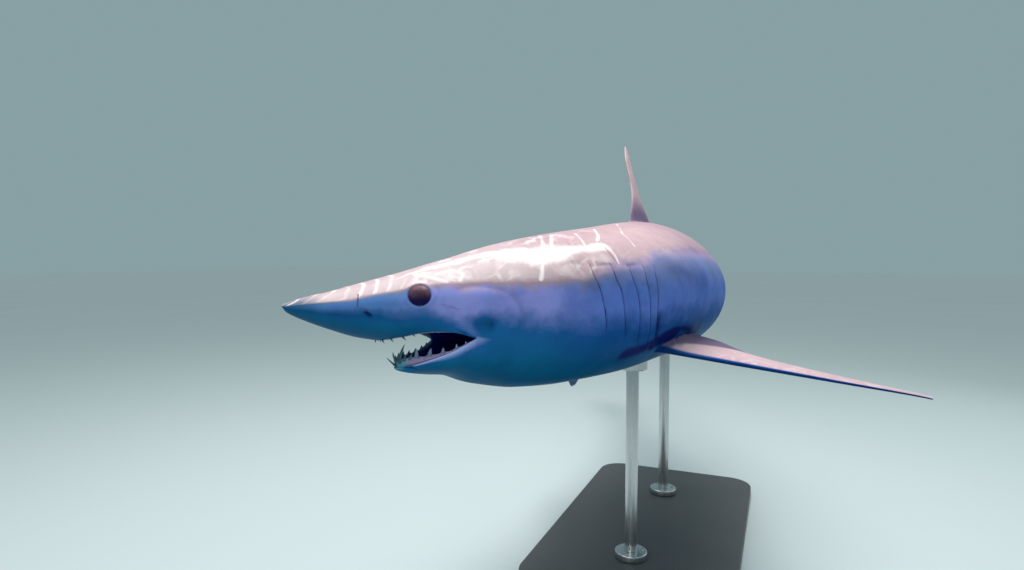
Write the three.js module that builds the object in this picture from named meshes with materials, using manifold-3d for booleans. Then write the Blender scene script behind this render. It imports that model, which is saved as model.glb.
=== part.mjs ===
// A shortfin mako shark at life size, turning and banking to its right with its mouth open,
// on a plain display stand. Millimetres, +Z up. The middle of the body faces -Y and its left is +X.
import * as THREE from 'three';
import { mergeVertices } from 'three/addons/utils/BufferGeometryUtils.js';
import Module from 'manifold-3d';

const wasm = await Module();
wasm.setup();

// ---- Driving dimensions ----
// A station is a place along the body: 0 at the tip of the snout, 1 at the tip of the tail.
// Places and sizes below 1 are parts of LENGTH, and the others are in millimetres.
const LENGTH = 2200; // tip of the snout to tip of the tail, along the bent body
const GAP = 0.35; // clearance between neighbouring pieces
const PIVOT_STATION = 0.25; // the gills, about which the body banks
const PIVOT_HEIGHT = 590; // height of the body's axis there, above the floor

const HEADING_AT_PIVOT = degrees(22.4); // how far the body there points to its right of -Y
const BENDS = [ // from station, to station, turn to the right towards the head, in degrees per LENGTH
  [0.10, 0.25, 115.7],
  [0.25, 0.50, 134.6],
  [0.50, 0.85, 50.0],
];
const BANK = degrees(7.35); // left side up
const NOSE_UP = degrees(0.69);

// Station, half width, height of the back and depth of the belly at that station, as parts
const OUTLINE = [
  [-0.0014, 0.0000, 0.0038, -0.0038],
  [0.0000, 0.0030, 0.0054, -0.0020],
  [0.0010, 0.0042, 0.0057, -0.0004],
  [0.0040, 0.0066, 0.0066, 0.0018],
  [0.0120, 0.0126, 0.0088, 0.0061],
  [0.0300, 0.0210, 0.0120, 0.0142],
  [0.0450, 0.0276, 0.0154, 0.0200],
  [0.0600, 0.0325, 0.0186, 0.0238],
  [0.0800, 0.0386, 0.0230, 0.0278],
  [0.1000, 0.0434, 0.0279, 0.0380],
  [0.1160, 0.0466, 0.0316, 0.0568],
  [0.1380, 0.0511, 0.0374, 0.0640],
  [0.1620, 0.0557, 0.0427, 0.0688],
  [0.2050, 0.0637, 0.0497, 0.0715],
  [0.2600, 0.0727, 0.0569, 0.0710],
  [0.3300, 0.0740, 0.0662, 0.0668],
  [0.3700, 0.0730, 0.0693, 0.0655],
  [0.4500, 0.0710, 0.0708, 0.0618],
  [0.5400, 0.0530, 0.0545, 0.0535],
  [0.6500, 0.0355, 0.0353, 0.0362],
  [0.7600, 0.0210, 0.0208, 0.0208],
  [0.8200, 0.0150, 0.0136, 0.0127],
  [0.8500, 0.0125, 0.0118, 0.0109],
  [0.9000, 0.0045, 0.0100, 0.0096],
];
// Exponents of the section's halves: 2 is an ellipse, less is a ridge
const UPPER_FULLNESS = 1.9;
const LOWER_FULLNESS = 2.05;
const RIDGE = { station: 0.42, reach: 0.14, sharpness: 0.17 }; // the back under the first dorsal fin
const SNOUT_LIFT = 0.0035; // the snout's tip above the axis, as a part
const SNOUT_LIFT_END = 0.03; // station where the lift has faded out
const AROUND = 24; // points in one section

// Where the body is parted into named lengths
const HEAD_END = 0.19;
const TRUNK_FRONT_END = 0.33;
const TRUNK_MIDDLE_END = 0.53;
const TRUNK_REAR_END = 0.74;
const BODY_END = 0.90;

const MOUTH = {
  front: 0.0590, // station of the upper jaw's front edge
  corner: 0.1160, // station of the corners
  cornerHeight: -0.0279,
  jawTip: 0.0716,
  halfWidth: 0.042, // at the corners
  // station and height of each lip, seen from the side
  upperLip: [
    [0.0590, -0.0232], [0.0700, -0.0222], [0.0846, -0.0204], [0.1009, -0.0215], [0.1100, -0.0243],
  ],
  lowerLip: [
    [0.0716, -0.0442], [0.0800, -0.0425], [0.0908, -0.0393], [0.1009, -0.0359], [0.1100, -0.0313],
  ],
  underSnout: [0.0450, -0.0245], // on the upper lip's line, ahead of the mouth
  insideCheek: [0.1300, -0.0240], // on the lower lip's line, behind the corner
};
// Lower jaw in front of the corners: station, half width, chin's height below the axis
const JAW_OUTLINE = [
  [0.0716, 0.0040, 0.0457],
  [0.0735, 0.0095, 0.0471],
  [0.0770, 0.0160, 0.0483],
  [0.0830, 0.0222, 0.0494],
  [0.0940, 0.0304, 0.0512],
  [0.1070, 0.0378, 0.0532],
  [0.1180, 0.0424, 0.0572],
  [0.1300, 0.0440, 0.0600],
];
// Throat behind the mouth: station, half width, roof and floor heights
const CAVITY = [
  [0.0660, 0.0050, -0.0210, -0.0300],
  [0.0750, 0.0120, -0.0172, -0.0400],
  [0.0850, 0.0180, -0.0152, -0.0450],
  [0.1000, 0.0255, -0.0148, -0.0450],
  [0.1160, 0.0310, -0.0160, -0.0440],
  [0.1350, 0.0255, -0.0200, -0.0430],
  [0.1550, 0.0150, -0.0260, -0.0400],
];
const JAW_SPLIT = [ // seen from the side, the line from the corner down to the throat
  [0.1160, -0.0279],
  [0.1400, -0.0470],
  [0.1560, -0.0900],
];

const EYE = { station: 0.0803, angle: degrees(10), ballRadius: 24, openingRadius: 16.5 };
const GILLS = {
  count: 5,
  firstStation: 0.2045,
  spacing: 0.0122,
  top: degrees(20),
  bottom: degrees(-32),
  longer: degrees(3), // each slit ends lower than the one ahead of it
  slant: 0.010, // how much further back its lower end is
  width: 3.2,
  depth: 7,
  proud: 3, // how far a cutting blade stands out of the skin
};
const NOSTRIL = { station: 0.0480, angle: degrees(-16), length: 15, width: 4, depth: 6, slant: 0.45 };

// The first dorsal fin bends to the right: at its tip, along its rear edge and along its fore edge
const DORSAL_BEND = { flex: 0.0215, curl: 0.005, twist: 0.004 };
const STATIONS = { firstDorsal: 0.354, secondDorsal: 0.756, anal: 0.772, caudal: 0.848 };
const POSES = { // of the paired fins
  pectoralLeft: { sweep: 0, droop: degrees(14.2), noseUp: degrees(-3), bow: 0.010 },
  pectoralRight: { sweep: degrees(23.3), droop: degrees(21), noseUp: degrees(2), bow: 0.002 },
  pelvic: { sweep: 0, droop: degrees(38), noseUp: 0, bow: 0 },
};
const KEEL = { from: 0.770, to: 0.930, root: 0.006, halfWidth: 0.0240, thickness: 9 };
const TAIL_CUT = { from: 0.83, to: 1.06, reach: 0.2 }; // parts the tail fin's lobes at the axis

const STAND = {
  baseLength: 760,
  baseWidth: 420,
  baseThickness: 24,
  corner: 60,
  chamfer: 2.5,
  baseStation: 0.415, // the station that the base's middle is under
  rodStations: { front: 0.325, rear: 0.505 },
  rodRadius: 13,
  collarRadius: 34,
  collarHeight: 14,
  cupRadius: 30,
  cupHeight: 26,
  cupSink: 10, // how far a cup's rim rises past the lowest line of the belly
};

const TEETH = {
  lowerHeights: [18, 23, 20, 15, 13, 11, 9, 7], // from the front to a corner
  upperHeights: [6.5, 6.5, 4, 5.5, 5.5, 5, 4.5, 4],
  firstReach: 0.05, // of the half width of the mouth
  lastReach: 0.93,
  inset: 5, // from the lip's edge in to the middle of a tooth's root
  leastWidth: 2,
  widthToHeight: 0.22,
  frontLean: 1.1, // outwards, as a part of the height
  cornerLean: 0.4,
  hook: 0.45, // back again, as a part of the height
  taper: [[-0.25, 1], [0.45, 0.7], [1, 0.16]], // height, width
  flatness: 0.7, // thickness of a tooth beside its width
  sides: 4,
};

// At part x of its chord a fin's half thickness is edge + thickness / 2 * fullness * sqrt(x) * (1 - x)
const FIN_SECTION = { chordSteps: [0, 0.06, 0.3, 0.65, 1], edge: 0.45, fullness: 2.6 };

const materials = {
  back: new THREE.MeshStandardMaterial({ color: 0x8d8a93, roughness: 0.45, metalness: 0 }),
  flank: new THREE.MeshStandardMaterial({ color: 0x6f7fb0, roughness: 0.45, metalness: 0 }),
  eye: new THREE.MeshStandardMaterial({ color: 0x171316, roughness: 0.08, metalness: 0 }),
  steel: new THREE.MeshStandardMaterial({ color: 0x9a9c9e, roughness: 0.35, metalness: 0.9 }),
  base: new THREE.MeshStandardMaterial({ color: 0x303438, roughness: 0.5, metalness: 0.1 }),
};

function degrees(angle) {
  return THREE.MathUtils.degToRad(angle);
}

// ---- Tables read as smooth curves ----
// A monotone cubic through [place, value] rows: it never overshoots the rows
function curveThrough(rows, column = 1) {
  const place = rows.map((row) => row[0]);
  const value = rows.map((row) => row[column]);
  const slope = place.slice(1).map((p, i) => (value[i + 1] - value[i]) / (p - place[i]));
  const tangent = place.map((_, i) => {
    if (i === 0) return slope[0];
    if (i === place.length - 1) return slope[i - 1];
    if (slope[i - 1] * slope[i] <= 0) return 0;
    const before = place[i] - place[i - 1];
    const after = place[i + 1] - place[i];
    const near = 2 * after + before;
    const far = after + 2 * before;
    return (near + far) / (near / slope[i - 1] + far / slope[i]);
  });
  return (at) => {
    const p = THREE.MathUtils.clamp(at, place[0], place[place.length - 1]);
    const i = Math.min(place.findLastIndex((start) => start <= p), place.length - 2);
    const step = place[i + 1] - place[i];
    const t = (p - place[i]) / step;
    const rise = value[i + 1] - value[i];
    const bow = tangent[i] * step * (1 - t) - tangent[i + 1] * step * t + rise * (2 * t - 1);
    return value[i] + rise * t + t * (1 - t) * bow;
  };
}

function evenly(from, to, steps) {
  return Array.from({ length: steps + 1 }, (_, i) => from + ((to - from) * i) / steps);
}

function fullTurn(steps) {
  return evenly(0, 2 * Math.PI, steps).slice(0, steps);
}

// ---- The bent spine ----
function headingAt(station) {
  let heading = HEADING_AT_PIVOT;
  for (const [from, to, turn] of BENDS) {
    const anchor = to <= PIVOT_STATION ? to : from;
    heading -= degrees(turn) * (THREE.MathUtils.clamp(station, from, to) - anchor);
  }
  return heading;
}

const SPINE_STEPS = 400;
function buildSpine() {
  const spine = [new THREE.Vector2(0, 0)];
  for (let i = 1; i <= SPINE_STEPS; i += 1) {
    const heading = headingAt((i - 0.5) / SPINE_STEPS);
    const aft = new THREE.Vector2(Math.sin(heading), Math.cos(heading));
    spine.push(spine[i - 1].clone().addScaledVector(aft, LENGTH / SPINE_STEPS));
  }
  const pivot = spine[PIVOT_STATION * SPINE_STEPS];
  return spine.map((point) => point.clone().sub(pivot));
}
const SPINE = buildSpine();

// Axis point, direction to the tail and direction to the left at a station
function frameAt(station) {
  const along = THREE.MathUtils.clamp(station, 0, 1) * SPINE_STEPS;
  const i = Math.min(Math.floor(along), SPINE_STEPS - 1);
  const heading = headingAt(station);
  const aft = new THREE.Vector3(Math.sin(heading), Math.cos(heading), 0);
  const left = new THREE.Vector3(Math.cos(heading), -Math.sin(heading), 0);
  const flat = SPINE[i].clone().lerp(SPINE[i + 1], along - i);
  const beyond = (station - THREE.MathUtils.clamp(station, 0, 1)) * LENGTH;
  const origin = new THREE.Vector3(flat.x, flat.y, 0).addScaledVector(aft, beyond);
  return { origin, aft, left };
}

// A point beside the spine; left and up are parts of LENGTH
function bodyPoint(station, left, up) {
  const frame = frameAt(station);
  return frame.origin.addScaledVector(frame.left, left * LENGTH).setZ(up * LENGTH);
}

// ---- Solids ----
// Joins rings of points into one closed skin with capped ends, facing outwards
function loft(rings) {
  const size = rings[0].length;
  const points = rings.flat();
  const triangles = [];
  for (let r = 0; r + 1 < rings.length; r += 1) {
    for (let k = 0; k < size; k += 1) {
      const a = r * size + k;
      const b = r * size + ((k + 1) % size);
      triangles.push(a, b, b + size, a, b + size, a + size);
    }
  }
  for (const [start, flip] of [[0, true], [(rings.length - 1) * size, false]]) {
    const middle = new THREE.Vector3();
    for (let k = 0; k < size; k += 1) middle.addScaledVector(points[start + k], 1 / size);
    points.push(middle);
    const hub = points.length - 1;
    for (let k = 0; k < size; k += 1) {
      const a = start + k;
      const b = start + ((k + 1) % size);
      triangles.push(...(flip ? [hub, b, a] : [hub, a, b]));
    }
  }
  if (signedVolume(points, triangles) < 0) triangles.reverse();
  const geometry = new THREE.BufferGeometry().setFromPoints(points);
  geometry.setIndex(triangles);
  return geometry;
}

function signedVolume(points, triangles) {
  let volume = 0;
  for (let t = 0; t < triangles.length; t += 3) {
    const [a, b, c] = [points[triangles[t]], points[triangles[t + 1]], points[triangles[t + 2]]];
    volume += a.dot(b.clone().cross(c)) / 6;
  }
  return volume;
}

const SHARED = 1e-4; // millimetres between points that are one
function solid(geometry) {
  const bare = geometry.clone();
  bare.deleteAttribute('normal');
  bare.deleteAttribute('uv');
  const merged = mergeVertices(bare, SHARED);
  return new wasm.Manifold(new wasm.Mesh({
    numProp: 3,
    vertProperties: Float32Array.from(merged.attributes.position.array),
    triVerts: Uint32Array.from(merged.index.array),
  }));
}

function geometryOf(manifold) {
  const mesh = manifold.getMesh();
  const geometry = new THREE.BufferGeometry();
  geometry.setAttribute('position', new THREE.BufferAttribute(mesh.vertProperties, 3));
  geometry.setIndex(new THREE.BufferAttribute(mesh.triVerts, 1));
  geometry.computeVertexNormals();
  return geometry;
}

// ---- Body ----
const halfWidthAt = curveThrough(OUTLINE, 1);
const backAt = curveThrough(OUTLINE, 2);
const bellyAt = curveThrough(OUTLINE, 3);

// Height of the section's widest line above the axis
function widestAt(station) {
  return SNOUT_LIFT * Math.max(0, 1 - station / SNOUT_LIFT_END) ** 2;
}

// A point of the section's outline: angle 0 is its left side and 90 degrees its back
function sectionPoint(angle, { halfWidth, up, down, grow = 0, upperFullness = UPPER_FULLNESS }) {
  const across = Math.cos(angle);
  const rise = Math.sin(angle);
  const fullness = rise >= 0 ? upperFullness : LOWER_FULLNESS;
  const reach = (Math.abs(across) ** fullness + Math.abs(rise) ** fullness) ** (-1 / fullness);
  const tall = rise >= 0 ? up : down;
  return [(halfWidth + grow) * reach * across, (tall + grow) * reach * rise];
}

function surfacePoint(station, angle, grow = 0) {
  const widest = widestAt(station);
  const offRidge = (station - RIDGE.station) / RIDGE.reach;
  const [left, up] = sectionPoint(angle, {
    halfWidth: halfWidthAt(station),
    up: backAt(station) - widest,
    down: bellyAt(station) + widest,
    grow,
    upperFullness: UPPER_FULLNESS - RIDGE.sharpness * Math.exp(-offRidge * offRidge),
  });
  return bodyPoint(station, left, up + widest);
}

function surfaceNormal(station, angle) {
  const step = 1e-3; // of LENGTH along the body, and of a radian around it
  const along = surfacePoint(station + step, angle).sub(surfacePoint(station - step, angle));
  const around = surfacePoint(station, angle + step).sub(surfacePoint(station, angle - step));
  return along.cross(around).normalize();
}

function bodyLoft(grow = 0) {
  const stations = [
    -0.0012, 0.001, 0.004, 0.008, 0.014, ...evenly(0.022, 0.12, 10), ...evenly(0.13, 0.27, 8),
    ...evenly(0.29, 0.54, 8), ...evenly(0.57, BODY_END, 7),
  ];
  return loft(stations.map((station) => fullTurn(AROUND)
    .map((angle) => surfacePoint(station, angle, grow / LENGTH))));
}

// The lower jaw in front of the corners and the throat under it
function jawLoft() {
  const halfWidth = curveThrough(JAW_OUTLINE, 1);
  const chin = curveThrough(JAW_OUTLINE, 2);
  const corner = [MOUTH.corner, MOUTH.cornerHeight];
  const lip = curveThrough([...MOUTH.lowerLip, corner, MOUTH.insideCheek]);
  const stations = [...evenly(MOUTH.jawTip, 0.080, 4), ...evenly(0.084, MOUTH.insideCheek[0], 7)];
  const crown = 0.0004; // how far the gum rises above the lips
  return loft(stations.map((station) => fullTurn(AROUND).map((angle) => {
    const depth = chin(station) + lip(station);
    const [left, up] = sectionPoint(angle, { halfWidth: halfWidth(station), up: crown, down: depth });
    return bodyPoint(station, left, up + lip(station));
  })));
}

const PAST_SKIN = 0.095; // further from the axis than any skin
const PAST_FINS = 0.16; // further from the axis than any cut has to reach

// A slab across the body between two lines seen from the side
function sideSlab(stations, top, bottom, halfWidth = PAST_SKIN) {
  return loft(stations.map((station) => [
    bodyPoint(station, halfWidth, top(station)),
    bodyPoint(station, -halfWidth, top(station)),
    bodyPoint(station, -halfWidth, bottom(station)),
    bodyPoint(station, halfWidth, bottom(station)),
  ]));
}

function gapeSlab() {
  const corner = [MOUTH.corner, MOUTH.cornerHeight];
  const upper = curveThrough([MOUTH.underSnout, ...MOUTH.upperLip, corner]);
  const lower = curveThrough([...MOUTH.lowerLip, corner]);
  const hair = 0.0002; // opens the mouth right to its corner
  const lead = 0.001; // ahead of the upper jaw's front edge
  const stations = [
    ...evenly(MOUTH.front - lead, MOUTH.jawTip, 3), ...evenly(0.076, MOUTH.corner, 7),
  ];
  const under = (station) => (station < MOUTH.jawTip ? -PAST_SKIN : lower(station) - hair);
  return sideSlab(stations, (station) => upper(station) + hair, under);
}

function cavityLoft() {
  return loft(CAVITY.map(([station, halfWidth, roof, floor]) => {
    const middle = (roof + floor) / 2;
    return fullTurn(12).map((angle) => {
      const [left, up] = sectionPoint(angle, { halfWidth, up: roof - middle, down: middle - floor });
      return bodyPoint(station, left, up + middle);
    });
  }));
}

// Everything below the mouth and ahead of the line from its corners to the throat
function jawRegion(shift) {
  const split = curveThrough(JAW_SPLIT);
  const behindCorner = evenly(0.12, JAW_SPLIT[JAW_SPLIT.length - 1][0], 6);
  const stations = [0.068, 0.09, MOUTH.corner, ...behindCorner];
  const line = (station) => (station <= MOUTH.corner ? MOUTH.cornerHeight : split(station));
  return sideSlab(stations, (station) => line(station) + shift / LENGTH, () => -PAST_SKIN);
}

// A length of the body between two stations, parted from its neighbours by GAP
function lengthOfBody(from, to) {
  const half = GAP / 2 / LENGTH;
  return sideSlab(evenly(from + half, to - half, 8), () => PAST_FINS, () => -PAST_FINS, PAST_FINS);
}

// ---- Teeth ----
// One curved cone from its root in the gum: it leans outwards and hooks back
function tooth(root, out, up, height, lean) {
  const along = new THREE.Vector3().crossVectors(up, out).normalize();
  const width = TEETH.leastWidth + height * TEETH.widthToHeight;
  const rings = TEETH.taper.map(([rise, taper]) => {
    const bow = height * (lean * rise - TEETH.hook * rise * rise);
    const centre = root.clone().addScaledVector(up, rise * height).addScaledVector(out, bow);
    const halfWidth = (width * taper) / 2;
    return fullTurn(TEETH.sides).map((angle) => centre.clone()
      .addScaledVector(along, Math.cos(angle) * halfWidth)
      .addScaledVector(out, Math.sin(angle) * halfWidth * TEETH.flatness));
  });
  return solid(loft(rings));
}

// Teeth along the bow of a jaw, from its front to both corners; upwards is 1 in the lower jaw
function toothRow(frontStation, lipHeight, heights, upwards) {
  const depth = MOUTH.corner - frontStation;
  const rows = [];
  for (const side of [1, -1]) {
    heights.forEach((height, i) => {
      const reach = THREE.MathUtils.lerp(TEETH.firstReach, TEETH.lastReach, i / (heights.length - 1));
      const station = frontStation + depth * reach * reach;
      const frame = frameAt(station);
      const out = frame.left.clone().multiplyScalar(side * 2 * depth * reach)
        .addScaledVector(frame.aft, -MOUTH.halfWidth).normalize();
      const root = bodyPoint(station, side * MOUTH.halfWidth * reach, lipHeight(station))
        .addScaledVector(out, -TEETH.inset);
      const lean = THREE.MathUtils.lerp(TEETH.frontLean, TEETH.cornerLean, Math.sqrt(reach));
      rows.push(tooth(root, out, new THREE.Vector3(0, 0, upwards), height, lean));
    });
  }
  return rows;
}

// ---- Fins ----
// lead and trail are [aft, out] points from the fin's root, and place puts a point where it belongs
function fin({ lead, trail, rootThickness, tipThickness, rings, place }) {
  const flat = ([aft, out]) => new THREE.Vector2(aft, out);
  const toCurve = (points) => new THREE.SplineCurve(points.map(flat));
  const leadCurve = toCurve(lead);
  const trailCurve = toCurve(trail);
  const { chordSteps, edge, fullness } = FIN_SECTION;
  return loft(evenly(0, 1, rings).map((t) => {
    const from = leadCurve.getPoint(t);
    const to = trailCurve.getPoint(t);
    const thick = THREE.MathUtils.lerp(rootThickness, tipThickness, t);
    const half = (x) => edge + (thick / 2) * fullness * Math.sqrt(x) * (1 - x);
    const at = (x, off) => place(from.clone().lerp(to, x), off, t, x);
    const upper = chordSteps.map((x) => at(x, x === 0 ? 0 : half(x)));
    const lower = chordSteps.slice(1).reverse().map((x) => at(x, -half(x)));
    return [...upper, ...lower];
  }));
}

// A fin in the body's upright middle plane, its outline given as [station, height] from a root
function midlineFin(rootStation, rootHeight, direction, shape, bend = {}) {
  const { flex = 0, curl = 0, twist = 0 } = bend;
  return fin({
    ...shape,
    place: (point, half, t, x) => {
      const rear = curl * x * 4 * t * (1 - t);
      const fore = twist * (1 - x) * 9.48 * t ** 3 * (1 - t);
      const left = half / LENGTH - flex * t * t - rear - fore;
      return bodyPoint(rootStation + point.x, left, rootHeight + direction * point.y);
    },
  });
}

const FIRST_DORSAL = {
  lead: [[-0.024, -0.030], [0.001, 0.003], [0.0325, 0.038], [0.053, 0.0755], [0.0845, 0.0978]],
  trail: [[0.092, -0.030], [0.1200, 0.0045], [0.0935, 0.030], [0.0905, 0.0652], [0.1005, 0.0948]],
  rootThickness: 17, tipThickness: 2.4, rings: 9,
};
const SMALL_FIN = {
  lead: [[-0.001, -0.010], [0.004, 0.002], [0.010, 0.010], [0.0150, 0.0150]],
  trail: [[0.016, -0.010], [0.0280, 0.0010], [0.0190, 0.0080], [0.0175, 0.0148]],
  rootThickness: 5, tipThickness: 1.6, rings: 6,
};
const CAUDAL_UPPER = {
  lead: [[0.000, 0.000], [0.016, 0.034], [0.058, 0.088], [0.110, 0.121], [0.1480, 0.1300]],
  trail: [[0.052, 0.000], [0.058, 0.030], [0.082, 0.072], [0.118, 0.110], [0.1505, 0.1270]],
  rootThickness: 14, tipThickness: 2.2, rings: 9,
};
const CAUDAL_LOWER = {
  lead: [[0.002, 0.000], [0.016, 0.030], [0.050, 0.070], [0.086, 0.096], [0.1060, 0.1040]],
  trail: [[0.052, 0.000], [0.056, 0.024], [0.070, 0.054], [0.090, 0.083], [0.1085, 0.1010]],
  rootThickness: 14, tipThickness: 2.2, rings: 9,
};
// Paired fins: [aft, out] from the root's middle line
const PECTORAL = {
  station: 0.272, left: 0.040, up: -0.0505, // the fore end of its root
  lead: [[-0.004, -0.030], [0.008, 0.012], [0.032, 0.070], [0.063, 0.133], [0.0975, 0.1945]],
  trail: [[0.064, -0.030], [0.0920, 0.0150], [0.0740, 0.0680], [0.084, 0.131], [0.1035, 0.1940]],
  rootThickness: 22, tipThickness: 2.2, rings: 10,
};
const PELVIC = {
  station: 0.545, left: 0.020, up: -0.0440,
  lead: [[-0.002, -0.018], [0.006, 0.004], [0.020, 0.024], [0.032, 0.036]],
  trail: [[0.044, -0.018], [0.0620, 0.0080], [0.046, 0.022], [0.038, 0.0365]],
  rootThickness: 9, tipThickness: 1.8, rings: 6,
};

// A paired fin, swept further back, drooped below level and pitched, its tip bowed down
function pairedFin(shape, side, { sweep, droop, noseUp, bow }) {
  const frame = frameAt(shape.station);
  const origin = bodyPoint(shape.station, side * shape.left, shape.up);
  const up = new THREE.Vector3(0, 0, 1);
  const level = frame.left.clone().multiplyScalar(side);
  const out = level.clone().multiplyScalar(Math.cos(droop)).addScaledVector(up, -Math.sin(droop));
  const chord = frame.aft.clone().applyAxisAngle(out, -side * noseUp);
  const upright = new THREE.Vector3().crossVectors(out, chord).multiplyScalar(side);
  const cosSweep = Math.cos(sweep);
  const sinSweep = Math.sin(sweep);
  return fin({
    ...shape,
    place: (point, half, t) => {
      const aft = (point.x * cosSweep + point.y * sinSweep) * LENGTH;
      const span = (point.y * cosSweep - point.x * sinSweep) * LENGTH;
      return origin.clone().addScaledVector(chord, aft).addScaledVector(out, span)
        .addScaledVector(upright, half - bow * t * t * LENGTH);
    },
  });
}

// ---- The swimmer, in its own level frame about the pivot ----
const bodySolid = solid(bodyLoft());
const clearOfBody = solid(bodyLoft(GAP)); // the body with its clearance

function headAndJaw() {
  const upperRow = toothRow(MOUTH.front, curveThrough(MOUTH.upperLip), TEETH.upperHeights, -1);
  const lowerRow = toothRow(MOUTH.jawTip, curveThrough(MOUTH.lowerLip), TEETH.lowerHeights, 1);
  const open = bodySolid.add(solid(jawLoft()))
    .intersect(solid(lengthOfBody(-0.02, HEAD_END)))
    .subtract(solid(gapeSlab()))
    .subtract(solid(cavityLoft()));
  const lowerJaw = open.intersect(solid(jawRegion(-GAP / 2)));
  const head = open.subtract(solid(jawRegion(GAP / 2)));
  return {
    head: upperRow.reduce((whole, one) => whole.add(one), head),
    lowerJaw: lowerRow.reduce((whole, one) => whole.add(one), lowerJaw),
  };
}

// Where an eyeball sits, so that its opening in the skin has the radius given
function eyeCentre(side) {
  const angle = side > 0 ? EYE.angle : Math.PI - EYE.angle;
  const sunk = Math.sqrt(EYE.ballRadius ** 2 - EYE.openingRadius ** 2);
  const normal = surfaceNormal(EYE.station, angle);
  return surfacePoint(EYE.station, angle).addScaledVector(normal, -sunk);
}

function eyeball(grow = 0) {
  return new THREE.SphereGeometry(EYE.ballRadius + grow, 12, 8); // 12 around, 8 from pole to pole
}

// A thin wedge that cuts one gill slit, from above the flank's middle down towards the throat
function gillBlade(index, side) {
  const half = GILLS.width / 2 / LENGTH;
  const deep = -GILLS.depth / LENGTH;
  const proud = GILLS.proud / LENGTH;
  return solid(loft(evenly(0, 1, 4).map((t) => {
    const level = THREE.MathUtils.lerp(GILLS.top, GILLS.bottom - index * GILLS.longer, t);
    const angle = side > 0 ? level : Math.PI - level;
    const station = GILLS.firstStation + index * GILLS.spacing + GILLS.slant * (t - 0.4);
    const open = half * Math.sin(Math.PI * THREE.MathUtils.lerp(0.1, 0.9, t));
    return [
      surfacePoint(station - open, angle, proud), surfacePoint(station + open, angle, proud),
      surfacePoint(station + open * 1.3, angle, deep), surfacePoint(station + open, angle, deep),
    ];
  })));
}

function nostrilCutter(side) {
  const angle = side > 0 ? NOSTRIL.angle : Math.PI - NOSTRIL.angle;
  const cutter = new THREE.SphereGeometry(1, 8, 6);
  cutter.scale(NOSTRIL.length / 2, NOSTRIL.depth, NOSTRIL.width / 2);
  const frame = frameAt(NOSTRIL.station);
  const normal = surfaceNormal(NOSTRIL.station, angle);
  const slant = frame.aft.clone().addScaledVector(new THREE.Vector3(0, 0, 1), -NOSTRIL.slant);
  const along = slant.addScaledVector(normal, -slant.dot(normal)).normalize();
  const across = new THREE.Vector3().crossVectors(along, normal);
  const place = new THREE.Matrix4().makeBasis(along, normal, across);
  place.setPosition(surfacePoint(NOSTRIL.station, angle));
  cutter.applyMatrix4(place);
  return solid(cutter);
}

// Both side keels of the tail in one flat blade through it
function keelBlade(grow = 0) {
  const spare = grow / LENGTH;
  const stations = evenly(KEEL.from - spare, KEEL.to + spare, 10);
  return solid(loft(stations.map((station) => {
    const t = THREE.MathUtils.clamp((station - KEEL.from) / (KEEL.to - KEEL.from), 0, 1);
    const swell = Math.sin(Math.PI * t ** 1.15) ** 0.8; // widest a little behind its middle
    const reach = spare + KEEL.root + (KEEL.halfWidth - KEEL.root) * swell;
    return fullTurn(12).map((angle) => {
      const up = (KEEL.thickness / 2 / LENGTH + spare) * Math.sin(angle);
      return bodyPoint(station, reach * Math.cos(angle), up);
    });
  })));
}

function halfOfTail(direction) {
  const clear = (direction * GAP) / 2 / LENGTH;
  const [top, bottom] = direction > 0 ? [TAIL_CUT.reach, clear] : [clear, -TAIL_CUT.reach];
  return solid(sideSlab(evenly(TAIL_CUT.from, TAIL_CUT.to, 6), () => top, () => bottom));
}

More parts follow.
